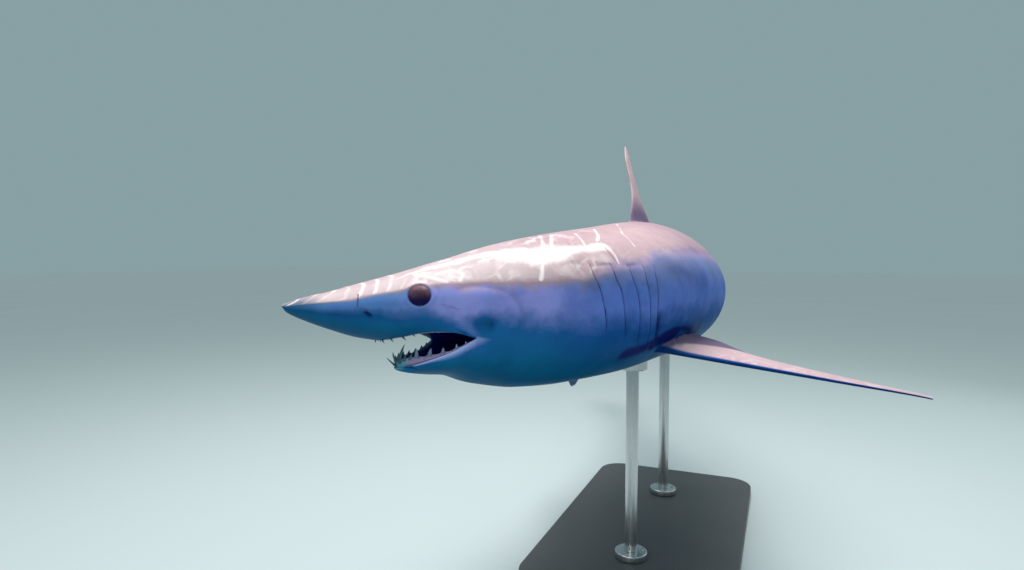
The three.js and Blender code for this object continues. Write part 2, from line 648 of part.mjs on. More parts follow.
function swimmerNodes() {
  const { head, lowerJaw } = headAndJaw();
  const nodes = {};
  const sides = [['left', 1], ['right', -1]];
  let carvedHead = head;
  let gills = bodySolid.intersect(solid(lengthOfBody(HEAD_END, TRUNK_FRONT_END)));
  for (const [name, side] of sides) {
    const centre = eyeCentre(side);
    carvedHead = carvedHead.subtract(nostrilCutter(side))
      .subtract(solid(eyeball(GAP).translate(centre.x, centre.y, centre.z)));
    for (let i = 0; i < GILLS.count; i += 1) gills = gills.subtract(gillBlade(i, side));
    nodes[`eye_${name}`] = { geometry: eyeball(), position: centre, material: materials.eye };
  }
  const lengthNodes = {
    head: carvedHead,
    lower_jaw: lowerJaw,
    trunk_front: gills,
    trunk_middle: bodySolid.intersect(solid(lengthOfBody(TRUNK_FRONT_END, TRUNK_MIDDLE_END))),
    trunk_rear: bodySolid.intersect(solid(lengthOfBody(TRUNK_MIDDLE_END, TRUNK_REAR_END))),
    tail_stock: bodySolid.add(keelBlade()).intersect(solid(lengthOfBody(TRUNK_REAR_END, 1))),
  };
  for (const [name, shape] of Object.entries(lengthNodes)) {
    nodes[name] = { geometry: geometryOf(shape), material: materials.flank };
  }
  const grown = clearOfBody.add(keelBlade(GAP));
  const { firstDorsal, secondDorsal, anal } = STATIONS;
  const fins = {
    dorsal_fin_first: midlineFin(firstDorsal, backAt(firstDorsal), 1, FIRST_DORSAL, DORSAL_BEND),
    dorsal_fin_second: midlineFin(secondDorsal, backAt(secondDorsal), 1, SMALL_FIN),
    anal_fin: midlineFin(anal, -bellyAt(anal), -1, SMALL_FIN),
    pectoral_fin_left: pairedFin(PECTORAL, 1, POSES.pectoralLeft),
    pectoral_fin_right: pairedFin(PECTORAL, -1, POSES.pectoralRight),
    pelvic_fin_left: pairedFin(PELVIC, 1, POSES.pelvic),
    pelvic_fin_right: pairedFin(PELVIC, -1, POSES.pelvic),
  };
  for (const [name, geometry] of Object.entries(fins)) {
    nodes[name] = { geometry: geometryOf(solid(geometry).subtract(grown)), material: materials.back };
  }
  const lobes = { caudal_fin_upper: [1, CAUDAL_UPPER], caudal_fin_lower: [-1, CAUDAL_LOWER] };
  for (const [name, [direction, shape]] of Object.entries(lobes)) {
    const lobe = solid(midlineFin(STATIONS.caudal, 0, direction, shape));
    const clear = lobe.subtract(grown).intersect(halfOfTail(direction));
    nodes[name] = { geometry: geometryOf(clear), material: materials.back };
  }
  return nodes;
}

// ---- The stand, upright on the floor ----
function roundedPlate() {
  const halfLength = STAND.baseLength / 2 - STAND.chamfer;
  const halfWidth = STAND.baseWidth / 2 - STAND.chamfer;
  const r = STAND.corner;
  const outline = new THREE.Shape();
  outline.moveTo(halfWidth, r - halfLength);
  outline.lineTo(halfWidth, halfLength - r);
  outline.absarc(halfWidth - r, halfLength - r, r, 0, Math.PI / 2);
  outline.lineTo(r - halfWidth, halfLength);
  outline.absarc(r - halfWidth, halfLength - r, r, Math.PI / 2, Math.PI);
  outline.lineTo(-halfWidth, r - halfLength);
  outline.absarc(r - halfWidth, r - halfLength, r, Math.PI, 1.5 * Math.PI);
  outline.lineTo(halfWidth - r, -halfLength);
  outline.absarc(halfWidth - r, r - halfLength, r, 1.5 * Math.PI, 2 * Math.PI);
  const plate = new THREE.ExtrudeGeometry(outline, {
    depth: STAND.baseThickness - 2 * STAND.chamfer,
    bevelEnabled: true,
    bevelThickness: STAND.chamfer,
    bevelSize: STAND.chamfer,
    bevelSegments: 1,
    curveSegments: 5,
  });
  return plate.translate(0, 0, STAND.chamfer);
}

function uprightCylinder(radius, bottom, top, x, y) {
  const cylinder = new THREE.CylinderGeometry(radius, radius, top - bottom, 16); // 16 sides
  return cylinder.rotateX(Math.PI / 2).translate(x, y, (bottom + top) / 2);
}

// Each rod stands in a collar on the base and carries a cup cut to the belly's shape
function standNodes(swimmer) {
  const nodes = {};
  const toFloor = (point) => point.applyMatrix4(swimmer.matrixWorld);
  const middle = toFloor(bodyPoint(STAND.baseStation, 0, 0));
  const baseTop = STAND.baseThickness;
  nodes.stand_base = {
    geometry: roundedPlate(),
    position: new THREE.Vector3(middle.x, middle.y, 0),
    material: materials.base,
  };
  const body = solid(bodyLoft(GAP).applyMatrix4(swimmer.matrixWorld));
  for (const [name, station] of Object.entries(STAND.rodStations)) {
    const belly = toFloor(bodyPoint(station, 0, -bellyAt(station)));
    const collarTop = baseTop + GAP + STAND.collarHeight;
    const cupBottom = belly.z - STAND.cupHeight + STAND.cupSink;
    const collar = uprightCylinder(STAND.collarRadius, baseTop + GAP, collarTop, belly.x, belly.y);
    const rod = uprightCylinder(STAND.rodRadius, collarTop + GAP, cupBottom - GAP, belly.x, belly.y);
    const cupTop = belly.z + STAND.cupHeight;
    const cup = solid(uprightCylinder(STAND.cupRadius, cupBottom, cupTop, belly.x, belly.y));
    nodes[`stand_collar_${name}`] = { geometry: collar, material: materials.steel };
    nodes[`stand_rod_${name}`] = { geometry: rod, material: materials.steel };
    nodes[`stand_cup_${name}`] = { geometry: geometryOf(cup.subtract(body)), material: materials.steel };
  }
  return nodes;
}

function addNodes(group, nodes) {
  for (const [name, { geometry, position, material }] of Object.entries(nodes)) {
    const mesh = new THREE.Mesh(geometry, material);
    mesh.name = name;
    if (position) mesh.position.copy(position);
    group.add(mesh);
  }
}

const model = new THREE.Group();
const swimmer = new THREE.Group();
const pivotFrame = frameAt(PIVOT_STATION);
swimmer.quaternion
  .setFromAxisAngle(pivotFrame.left, -NOSE_UP)
  .multiply(new THREE.Quaternion().setFromAxisAngle(pivotFrame.aft, -BANK));
swimmer.position.z = PIVOT_HEIGHT;
swimmer.updateMatrixWorld();
addNodes(swimmer, swimmerNodes());
addNodes(model, standNodes(swimmer));
model.add(swimmer);

// The origin is the middle of the whole model's box, on the floor
const box = new THREE.Box3().setFromObject(model, true);
model.position.set(-(box.min.x + box.max.x) / 2, -(box.min.y + box.max.y) / 2, 0);

export default model;
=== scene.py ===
import math

import bmesh
import bpy
import numpy as np
from bpy.props import FloatProperty, FloatVectorProperty, PointerProperty
from mathutils import Matrix, Vector
from mathutils.bvhtree import BVHTree
from mathutils.kdtree import KDTree


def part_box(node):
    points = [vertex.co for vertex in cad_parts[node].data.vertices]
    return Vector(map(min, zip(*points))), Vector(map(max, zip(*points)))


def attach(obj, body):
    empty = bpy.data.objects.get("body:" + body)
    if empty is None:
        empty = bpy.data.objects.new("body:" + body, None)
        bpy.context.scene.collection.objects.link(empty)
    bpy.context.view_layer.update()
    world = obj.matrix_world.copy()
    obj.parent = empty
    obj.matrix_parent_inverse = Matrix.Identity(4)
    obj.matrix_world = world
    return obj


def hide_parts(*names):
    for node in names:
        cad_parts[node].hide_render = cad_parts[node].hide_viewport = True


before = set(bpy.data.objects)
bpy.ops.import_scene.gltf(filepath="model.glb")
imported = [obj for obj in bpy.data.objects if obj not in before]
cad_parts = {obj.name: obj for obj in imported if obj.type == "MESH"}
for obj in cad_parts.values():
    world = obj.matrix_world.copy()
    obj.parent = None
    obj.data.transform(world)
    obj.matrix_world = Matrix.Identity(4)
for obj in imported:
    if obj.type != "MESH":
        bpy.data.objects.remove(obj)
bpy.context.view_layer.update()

bl_info = {
    "name": "Shortfin mako on a display stand",
    "version": (1, 0, 0),
    "blender": (4, 5, 0),
    "location": "View3D > Sidebar > Shark",
    "description": "A life-size shortfin mako shark with its mouth open, its stand and a studio",
    "category": "Object",
}

# ---- The swimmer's body ----
# A station is a place along the body: 0 at the tip of the snout, 1 at the tip of the tail.
# Places on the body are (station, left, up), as parts of LENGTH from the body's axis.
# phi turns around the body from the middle of the belly: 90 degrees is its left side, -90 its
# right side and 180 its back.
MM = 0.001
LENGTH = 2.2
PIVOT_STATION = 0.25
PIVOT_HEIGHT = 0.59
HEADING_AT_PIVOT = 22.4
BENDS = ((0.10, 0.25, 115.7), (0.25, 0.50, 134.6), (0.50, 0.85, 50.0))  # from, to, degrees per LENGTH
BANK = 7.35
NOSE_UP = 0.69
SPINE_STEPS = 400

# station, half width, height of the back, depth of the belly
OUTLINE = (
    (-0.0014, 0.0000, 0.0038, -0.0038), (0.0000, 0.0030, 0.0054, -0.0020),
    (0.0010, 0.0042, 0.0057, -0.0004), (0.0040, 0.0066, 0.0066, 0.0018),
    (0.0120, 0.0126, 0.0088, 0.0061), (0.0300, 0.0210, 0.0120, 0.0142),
    (0.0450, 0.0276, 0.0154, 0.0200), (0.0600, 0.0325, 0.0186, 0.0238),
    (0.0800, 0.0386, 0.0230, 0.0278), (0.1000, 0.0434, 0.0279, 0.0380),
    (0.1160, 0.0466, 0.0316, 0.0568), (0.1380, 0.0511, 0.0374, 0.0640),
    (0.1620, 0.0557, 0.0427, 0.0688), (0.2050, 0.0637, 0.0497, 0.0715),
    (0.2600, 0.0727, 0.0569, 0.0710), (0.3300, 0.0740, 0.0662, 0.0668),
    (0.3700, 0.0730, 0.0693, 0.0655), (0.4500, 0.0710, 0.0708, 0.0618),
    (0.5400, 0.0530, 0.0545, 0.0535), (0.6500, 0.0355, 0.0353, 0.0362),
    (0.7600, 0.0210, 0.0208, 0.0208), (0.8200, 0.0150, 0.0136, 0.0127),
    (0.8500, 0.0125, 0.0118, 0.0109), (0.9000, 0.0045, 0.0100, 0.0096),
)
UPPER_FULLNESS = 1.9
LOWER_FULLNESS = 2.05
RIDGE_STATION, RIDGE_REACH, RIDGE_SHARPNESS = 0.42, 0.14, 0.17
SNOUT_LIFT, SNOUT_LIFT_END = 0.0035, 0.03

MOUTH_FRONT = 0.0590
MOUTH_CORNER = (0.1160, -0.0279)
UPPER_LIP = ((0.0590, -0.0232), (0.0700, -0.0222), (0.0846, -0.0204), (0.1009, -0.0215),
             (0.1100, -0.0243), MOUTH_CORNER)
JAW_TIP = 0.0716
LOWER_LIP = ((JAW_TIP, -0.0442), (0.0722, -0.0440), (0.0800, -0.0425), (0.0908, -0.0393),
             (0.1009, -0.0359), (0.1100, -0.0313), MOUTH_CORNER)
# station, half width, depth of the chin
JAW = ((JAW_TIP, 0.0000, 0.0446), (0.0722, 0.0046, 0.0459), (0.0735, 0.0095, 0.0471),
       (0.0770, 0.0160, 0.0483), (0.0830, 0.0222, 0.0494), (0.0940, 0.0304, 0.0512),
       (0.1070, 0.0378, 0.0532), (0.1160, 0.0411, 0.0568))
THROAT = (0.150, 0.016, 0.007, -0.034)  # station, half width, half height, height

EYE_STATION, EYE_PHI = 0.0803, 100.0
EYE_BALL, EYE_OPENING = 24 * MM, 16.5 * MM
LID_OPENING = 16.7 * MM
NOSTRIL_STATION, NOSTRIL_PHI = 0.048, 74.0

# Each gill slit as (phi, station) from its bottom to its top
GILL_SLITS = (
    ((64, 0.2093), (73, 0.2069), (82.8, 0.2041), (93.5, 0.2015), (102.2, 0.1997), (113, 0.1998)),
    ((58, 0.2278), (67, 0.2247), (74, 0.2228), (87, 0.2198), (98.5, 0.2168), (111, 0.2164)),
    ((52, 0.2430), (66, 0.2385), (77.5, 0.2358), (86, 0.2338), (96, 0.2313), (109, 0.2309)),
    ((44, 0.2570), (61, 0.2512), (72, 0.2473), (84, 0.2451), (94, 0.2436), (107, 0.2443)),
    ((42, 0.2690), (57, 0.2602), (67, 0.2560), (79, 0.2541), (96, 0.2536), (106.5, 0.2556)),
)
# A slit across: plain place, place with the flap, height of the skin (millimetres), painted shade in the
# slit
GILL_PROFILE = (
    (-10.0, -10.0, 0.0, 0.0), (-6.0, -6.0, 0.8, 0.0), (-3.0, -3.2, 1.7, 0.0),
    (-1.6, -1.4, 2.1, 0.0), (-0.8, -0.3, 1.9, 0.0), (-0.2, 0.2, 1.1, 0.12),
    (0.3, 0.1, -0.2, 0.6), (0.8, -0.8, -2.4, 0.9), (1.3, -1.6, -4.6, 1.0),
    (1.8, -0.6, -5.2, 0.9), (2.4, 0.5, -3.6, 0.5), (3.2, 1.3, -1.9, 0.15),
    (4.6, 3.6, -1.0, 0.0), (7.5, 7.5, 0.0, 0.0),
)
GILL_CREASE = ((0.1867, 117.8), (0.1930, 115.2), (0.2004, 113.2), (0.2097, 112.4), (0.2187, 111.6),
               (0.2290, 110.4), (0.2400, 109.0), (0.2540, 108.0))

FIN_PIT = ((0.2380, 43.5), (0.2526, 45.7), (0.2603, 47.9), (0.2735, 50.6), (0.2920, 53.0))
FIN_FOLD = ((0.2720, 55.5), (0.2860, 58.5), (0.3050, 57.0), (0.3200, 54.0))
SLIT_SHADE = ((0.2575, 70.0), (0.2620, 57.0), (0.2700, 47.0))
REAR_HOLLOW = ((0.2780, 104.0), (0.2894, 101.6), (0.3026, 96.3), (0.3300, 94.0))

# Height of the line between the dusky back and the blue flank
COLOUR_LINE = ((0.0, 0.0036), (0.010, 0.0036), (0.020, 0.0037), (0.026, 0.0038), (0.033, 0.0034),
               (0.038, 0.0034), (0.044, 0.0045), (0.054, 0.0060), (0.065, 0.0072), (0.074, 0.0084),
               (0.084, 0.0104), (0.096, 0.0098), (0.110, 0.0086), (0.126, 0.0078), (0.140, 0.0062),
               (0.150, 0.0050), (0.170, 0.0056), (0.195, 0.0054), (0.210, 0.0080), (0.220, 0.0096),
               (0.245, 0.0096), (0.256, 0.0140), (0.267, 0.0200), (0.280, 0.0206), (0.300, 0.0190),
               (0.360, 0.0200), (0.50, 0.0170), (0.65, 0.0100), (0.85, 0.0040), (1.0, 0.0040))

GILLS_START, GILLS_END = 0.186, 0.276
FIN_STATION, JAW_STATION = 0.24, 0.115  # stations whose colours the fins' and jaw's skin takes
TAIL_STATION = 0.848
FIRST_DORSAL_STATION, SECOND_DORSAL_STATION, ANAL_STATION = 0.354, 0.756, 0.772

MOUTH_COLUMNS = 36  # columns of the skin from the middle of the mouth to a corner
BACK_COLUMNS = 44  # and from there to the middle of the back
HEAD_START = 0.045  # station where the skin's rows start to lean to the mouth
JAW_END = 0.150  # station where the rows round the jaw are straight again
BODY_END, TAIL_END = 0.90, 0.9016
FAR_RING = 99.0  # ring of skin that lies away from the eyes
SKIN_CREASE, EDGE_CREASE = 55, 40  # degrees past which an edge of skin or steel stays sharp


def smoothstep(low, high, x):
    t = np.clip((np.asarray(x, float) - low) / (high - low), 0.0, 1.0)
    return t * t * (3.0 - 2.0 * t)


def mix(a, b, t):
    return a + (b - a) * t


def bell(x, reach):
    """1 where x is 0, and fading to both sides of it."""
    return np.exp(-((x / reach) ** 2))


class Curve:
    """A smooth curve through rows of (place, value, ...) that never overshoots them."""

    def __init__(self, rows, column=1):
        self.place = np.array([row[0] for row in rows])
        self.value = np.array([row[column] for row in rows])
        step = np.diff(self.place)
        slope = np.diff(self.value) / step
        near = 2 * step[1:] + step[:-1]
        far = step[1:] + 2 * step[:-1]
        turns = slope[:-1] * slope[1:] <= 0
        safe = np.where(turns, 1.0, slope[:-1]), np.where(turns, 1.0, slope[1:])
        inner = np.where(turns, 0.0, (near + far) / (near / safe[0] + far / safe[1]))
        self.tangent = np.concatenate([slope[:1], inner, slope[-1:]])

    def __call__(self, at):
        p = np.clip(at, self.place[0], self.place[-1])
        i = np.clip(np.searchsorted(self.place, p, side="right") - 1, 0, len(self.place) - 2)
        step = self.place[i + 1] - self.place[i]
        rise = self.value[i + 1] - self.value[i]
        t = (p - self.place[i]) / step
        bow = self.tangent[i] * step * (1 - t) - self.tangent[i + 1] * step * t + rise * (2 * t - 1)
        return self.value[i] + rise * t + t * (1 - t) * bow


half_width_at = Curve(OUTLINE, 1)
back_at = Curve(OUTLINE, 2)
belly_at = Curve(OUTLINE, 3)
colour_line_at = Curve(COLOUR_LINE)
upper_lip_at = Curve(UPPER_LIP)
lower_lip_at = Curve(LOWER_LIP)


def heading_at(station):
    heading = np.full(np.shape(station), HEADING_AT_PIVOT)
    for start, end, turn in BENDS:
        anchor = end if end <= PIVOT_STATION else start
        heading = heading - turn * (np.clip(station, start, end) - anchor)
    return np.radians(heading)


def build_spine():
    heading = heading_at((np.arange(SPINE_STEPS) + 0.5) / SPINE_STEPS)
    steps = np.stack([np.sin(heading), np.cos(heading)], -1) * LENGTH / SPINE_STEPS
    points = np.concatenate([np.zeros((1, 2)), np.cumsum(steps, 0)])
    return points - points[round(PIVOT_STATION * SPINE_STEPS)]


SPINE = build_spine()


def body_frame(station):
    """Axis points, and directions to the tail and to the left, in the level body."""
    station = np.asarray(station, float)
    inside = np.clip(station, 0, 1)
    along = inside * SPINE_STEPS
    first = np.minimum(along.astype(int), SPINE_STEPS - 1)
    heading = heading_at(station)
    level = np.zeros_like(heading)
    aft = np.stack([np.sin(heading), np.cos(heading), level], -1)
    left = np.stack([np.cos(heading), -np.sin(heading), level], -1)
    flat = SPINE[first] + (SPINE[first + 1] - SPINE[first]) * (along - first)[..., None]
    origin = np.concatenate([flat, level[..., None]], -1)
    return origin + aft * ((station - inside) * LENGTH)[..., None], aft, left


def level_point(station, left, up):
    station, left, up = np.broadcast_arrays(*(np.asarray(v, float) for v in (station, left, up)))
    origin, _, leftwards = body_frame(station)
    point = origin + leftwards * (left * LENGTH)[..., None]
    point[..., 2] = up * LENGTH
    return point


def widest_at(station):
    return SNOUT_LIFT * np.maximum(0, 1 - station / SNOUT_LIFT_END) ** 2


def section(station, phi):
    """Left and up of the skin at a station, phi in degrees."""
    angle = np.radians(phi - 90)
    across, rise = np.cos(angle), np.sin(angle)
    off_ridge = (station - RIDGE_STATION) / RIDGE_REACH
    upper = UPPER_FULLNESS - RIDGE_SHARPNESS * np.exp(-off_ridge * off_ridge)
    fullness = np.where(rise >= 0, upper, LOWER_FULLNESS)
    reach = (np.abs(across) ** fullness + np.abs(rise) ** fullness) ** (-1 / fullness)
    widest = widest_at(station)
    tall = np.where(rise >= 0, back_at(station) - widest, belly_at(station) + widest)
    return half_width_at(station) * reach * across, tall * reach * rise + widest


def level_skin(station, phi):
    left, up = section(station, phi)
    return level_point(station, left, up)


def level_normal(station, phi):
    step = 1e-3
    along = level_skin(station + step, phi) - level_skin(station - step, phi)
    turn = math.degrees(step)
    around = level_skin(station, phi + turn) - level_skin(station, phi - turn)
    normal = np.cross(along, around)
    return normal / np.linalg.norm(normal, axis=-1, keepdims=True)


def eye_place(side):
    """The middle of an eyeball and the way it looks, in the level body; side is 1 on the left."""
    station, phi = np.array(EYE_STATION), np.array(side * EYE_PHI)
    sunk = math.sqrt(EYE_BALL**2 - EYE_OPENING**2)
    normal = level_normal(station, phi)
    return level_skin(station, phi) - normal * sunk, normal


def swimmer_place():
    """The turn and shift from the level body to the row frame, found from the left eye's node."""
    _, aft, left = body_frame(PIVOT_STATION)
    nose_up = Matrix.Rotation(-math.radians(NOSE_UP), 3, Vector(left))
    bank = Matrix.Rotation(-math.radians(BANK), 3, Vector(aft))
    turn = np.array(nose_up @ bank)
    low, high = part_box("eye_left")
    return turn, np.array((low + high) / 2) - turn @ eye_place(1)[0]


TURN, SHIFT = swimmer_place()


def to_row(points):
    return points @ TURN.T + SHIFT


def at(station, left, up):
    return to_row(level_point(station, left, up))


def on_skin(station, phi):
    return to_row(level_skin(np.asarray(station, float), np.asarray(phi, float)))


def up_axis():
    return TURN @ np.array([0.0, 0.0, 1.0])


# ---- Meshes ----
def new_piece(name, bm, material, nodes=()):
    """A finished piece from a bmesh: it rides on the body and stands for the CAD nodes named."""
    mesh = bpy.data.meshes.new(name)
    bm.to_mesh(mesh)
    bm.free()
    piece = bpy.data.objects.new(name, mesh)
    bpy.context.scene.collection.objects.link(piece)
    mesh.materials.append(material)
    mesh.shade_smooth()
    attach(piece, "root")
    if nodes:
        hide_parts(*nodes)
    return piece


def sharpen(bm, degrees):
    for edge in bm.edges:
        edge.smooth = edge.calc_face_angle(0.0) < math.radians(degrees)


def drape(points, marks=None):
    """A sheet of quads whose corners lie at points[row, column], with one layer for each mark."""
    rows, columns = points.shape[:2]
    bm = bmesh.new()
    bmesh.ops.create_grid(bm, x_segments=columns - 1, y_segments=rows - 1, size=1)
    layers = {name: bm.verts.layers.float.new(name) for name in marks or {}}
    for vert in bm.verts:
        row = round((vert.co.y + 1) / 2 * (rows - 1))
        column = round((vert.co.x + 1) / 2 * (columns - 1))
        vert.co = points[row, column]
        for name, layer in layers.items():
            vert[layer] = marks[name][row, column]
    return bm


def weld(bm, distance=0.01 * MM):
    bmesh.ops.remove_doubles(bm, verts=bm.verts, dist=distance)
    bmesh.ops.dissolve_degenerate(bm, dist=distance / 10, edges=bm.edges)
    bmesh.ops.recalc_face_normals(bm, faces=bm.faces)


# ---- Skin ----
def by_length(points, count):
    """The places along a line of points that part it into count equal lengths."""
    lengths = np.linalg.norm(np.diff(points, axis=0), axis=1)
    along = np.concatenate([[0], np.cumsum(lengths)])
    return np.interp(np.linspace(0, along[-1], count + 1), along, np.arange(len(along)))


def lip_lines():
    """Station, left, up and phi of each lip, from its middle to its left corner, evenly spaced."""
    t = np.linspace(0, 1, 600) ** 2
    lips = {}
    station = mix(MOUTH_FRONT, MOUTH_CORNER[0], t)
    height = -upper_lip_at(station) / belly_at(station)
    height = np.clip(height, 0, 1)
    across = (1 - height**LOWER_FULLNESS) ** (1 / LOWER_FULLNESS)
    phi = 90 - np.degrees(np.arctan2(height, across))
    left, up = section(station, phi)
    lips["upper"] = np.stack([station, left, up, phi], -1)
    station = mix(JAW_TIP, MOUTH_CORNER[0], t)
    left = Curve(JAW, 1)(station)
    lips["lower"] = np.stack([station, left, lower_lip_at(station), phi * 0], -1)
    for name, rows in lips.items():
        even = by_length(rows[:, :3] * LENGTH, MOUTH_COLUMNS)
        lips[name] = np.stack([np.interp(even, np.arange(len(rows)), column) for column in rows.T], -1)
    return lips


LIPS = lip_lines()
CORNER_PHI = LIPS["upper"][-1, 3]


def side_place(lip, column):
    """Station, left and up of a lip at a signed column, and the way inwards in (station, left)."""
    rows = LIPS[lip]
    k = np.abs(column)
    index = np.arange(MOUTH_COLUMNS + 1)
    station, left, up = (np.interp(k, index, rows[:, n]) for n in range(3))
    before, after = np.clip(k - 1, 0, MOUTH_COLUMNS), np.clip(k + 1, 0, MOUTH_COLUMNS)
    run = np.interp(after, index, rows[:, 0]) - np.interp(before, index, rows[:, 0])
    spread = np.interp(after, index, rows[:, 1]) - np.interp(before, index, rows[:, 1])
    run = np.where(k < 0.5, 0.0, run)
    size = np.hypot(run, spread)
    sign = np.sign(column)
    return station, sign * left, up, spread / size, -sign * run / size


def gill_station(index, phi):
    return Curve(GILL_SLITS[index])(np.abs(phi))


def gill_rows(phi):
    """Stations, heights and painted shade of the skin's rows through the gill slits."""
    rows = []
    for index, slit in enumerate(GILL_SLITS):
        bottom_phi, top_phi = slit[0][0], slit[-1][0]
        middle = gill_station(index, phi)
        before = gill_station(index - 1, phi) if index else np.full_like(phi, GILLS_START)
        last = index + 1 == len(GILL_SLITS)
        after = np.full_like(phi, GILLS_END) if last else gill_station(index + 1, phi)
        room = np.minimum(middle - before, after - middle) * LENGTH
        scale = np.clip(room / (20 * MM), 0.3, 1) * MM / LENGTH
        away = np.abs(phi)
        open_part = smoothstep(bottom_phi - 2, bottom_phi + 5, away)
        open_part = open_part * smoothstep(top_phi + 1.0, top_phi - 4, away)
        for plain, flap, height, dark in GILL_PROFILE:
            station = middle + mix(plain, flap, open_part) * scale
            rows.append((station, height * MM * open_part, dark * open_part))
    flat = np.zeros_like(phi)
    rows = [(flat + GILLS_START, flat, flat), *rows, (flat + GILLS_END, flat, flat)]
    filled = []
    for number, (this, following) in enumerate(zip(rows, rows[1:])):
        filled.append(this)
        if number % len(GILL_PROFILE) == 0:
            for t in (0.25, 0.5, 0.75):
                filled.append(tuple(mix(a, b, t) for a, b in zip(this, following)))
    filled.append(rows[-1])
    return filled


def ellipse(station, phi, middle, reach):
    """How far out a place is from the middle of an oval on the flank; 1 is its rim."""
    across = (station - middle[0]) / reach[0]
    along = (np.abs(phi) - middle[1]) / reach[1]
    return np.hypot(across, along)


def near_line(station, phi, points):
    """Metres along the skin from a line of (station, phi) points."""
    scale = (back_at(station) + belly_at(station)) / 2 * LENGTH * math.pi / 180
    best = np.full(np.shape(station), 1.0)
    for (s0, p0), (s1, p1) in zip(points, points[1:]):
        x, y = (station - s0) * LENGTH, (np.abs(phi) - p0) * scale
        dx, dy = (s1 - s0) * LENGTH, (p1 - p0) * scale
        t = np.clip((x * dx + y * dy) / (dx * dx + dy * dy), 0, 1)
        best = np.minimum(best, np.hypot(x - t * dx, y - t * dy))
    return best


# The jaw muscle behind the mouth: its middle and its reach in stations and degrees
MUSCLE_MIDDLE, MUSCLE_REACH = (0.113, 77), (0.031, 26)
MUSCLE_PIT, PIT_REACH = (0.1255, 71.5), (0.0024, 3.4)
MUSCLE_HOLLOW, HOLLOW_REACH = (0.1190, 72.5), (0.0088, 5.0)
EYE_HOLLOW_REACH = (0.0130, 26.0)
MOUTH_RIDGE = ((0.0860, 84.0), (0.0923, 77.5), (0.1000, 73.2), (0.1061, 70.5), (0.1136, 67.5),
               (0.1170, 64.5))
UNDER_RIDGE = ((0.0900, 74.0), (0.1000, 69.0), (0.1100, 64.5), (0.1150, 62.5))
NOSTRIL_SLANT = (0.91, 0.42)


def relief(station, phi):
    """Folds and hollows: height of the skin, the painted shade of its creases and hollows, and shift of its
    tone, which paints highlights on the muscle and on the ridge under the eye and shade in the hollow.
    """
    away = np.abs(phi)
    height = np.zeros_like(station)
    dark = np.zeros_like(station)

    # the jaw muscle behind the mouth, full inside a soft groove
    across = np.abs(station - MUSCLE_MIDDLE[0]) / MUSCLE_REACH[0]
    along = np.abs(away - MUSCLE_MIDDLE[1]) / MUSCLE_REACH[1]
    oval = across**1.5 + along**1.5
    behind = smoothstep(0.100, 0.112, station)
    upper = behind * smoothstep(68, 80, away)
    height += behind * 2.1 * MM * smoothstep(1.12, 0.50, oval)
    groove = upper * bell(oval - 1.12, 0.13)
    height -= 0.9 * MM * groove
    # painted shade in the groove
    dark += 0.15 * groove

    # a pit at the end of the muscle, and a hollow ahead of it, both darkened with painted shade
    pit = ellipse(station, phi, MUSCLE_PIT, PIT_REACH)
    height += -4.0 * MM * bell(pit, 1) + 0.9 * MM * bell(pit - 2.3, 1)
    hollow = ellipse(station, phi, MUSCLE_HOLLOW, HOLLOW_REACH)
    height -= 0.8 * MM * bell(hollow, 1)
    dark += 0.35 * bell(pit, 1)
    dark += 0.28 * bell(hollow, 1)
    shift = -0.20 * bell(hollow, 1)
    # a painted highlight along the muscle's swelling
    shift += 0.06 * upper * bell(oval - 0.90, 0.11)

    # the ridge from under the eye to the corner of the mouth
    ridge = near_line(station, phi, MOUTH_RIDGE)
    height += 1.2 * MM * bell(ridge, 5 * MM)
    over_lip = smoothstep(0.045, 0.070, station) * smoothstep(0.124, 0.110, station)
    shift += 0.09 * over_lip * smoothstep(50, 62, away) * smoothstep(98, 84, away)
    # a painted highlight along the ridge
    shift += 0.06 * bell(ridge, 7 * MM)
    under = near_line(station, phi, UNDER_RIDGE)
    height -= 0.9 * MM * bell(under, 4 * MM)

    # the socket's soft hollow
    eye = ellipse(station, phi, (EYE_STATION, EYE_PHI), EYE_HOLLOW_REACH)
    height -= 1.0 * MM * bell(eye - 0.95, 0.3)

    # the nostril: a slanted slit behind a raised flap
    scale = back_at(NOSTRIL_STATION) * LENGTH * math.pi / 180
    x = (station - NOSTRIL_STATION) * LENGTH
    y = (away - NOSTRIL_PHI) * scale
    long, short = NOSTRIL_SLANT
    along, across = x * long - y * short, x * short + y * long
    slit = np.exp(-((along / (6.2 * MM)) ** 4) - (across / (2.1 * MM)) ** 2)
    flap = np.exp(-((along / (6.5 * MM)) ** 4) - ((across - 4.2 * MM) / (2.6 * MM)) ** 2)
    height += 1.3 * MM * flap - 5.0 * MM * slit
    # painted shade in the nostril's slit
    dark += 1.0 * slit

    # the crease over the tops of the gill slits, and the full flaps under it
    crease = near_line(station, phi, GILL_CREASE)
    height -= 1.0 * MM * bell(crease, 2.6 * MM)
    # painted shade in the crease
    dark += 0.45 * bell(crease, 1.5 * MM)
    below = smoothstep(96, 105, away) * smoothstep(113, 109, away)
    for index in range(len(GILL_SLITS) - 1):
        middle = (gill_station(index, phi) + gill_station(index + 1, phi)) / 2
        height += below * 1.5 * MM * bell((station - middle) * LENGTH, 7 * MM)

    # the pectoral fin's pit, the fold over its root and the hollow behind the gills, darkened with painted
    # shade, also along the lowest gill slit; the pit's darkness is partly the mako's own dark axil
    dark += 1.0 * smoothstep(19 * MM, 6 * MM, near_line(station, phi, FIN_PIT))
    fold = near_line(station, phi, FIN_FOLD)
    dark += 1.0 * bell(fold, 5 * MM)
    dark += 0.8 * bell(near_line(station, phi, SLIT_SHADE), 6 * MM)
    height -= 1.5 * MM * bell(fold, 5 * MM)
    dark += 0.34 * bell(near_line(station, phi, REAR_HOLLOW), 17 * MM)
    return height, np.clip(dark, 0, 1), shift


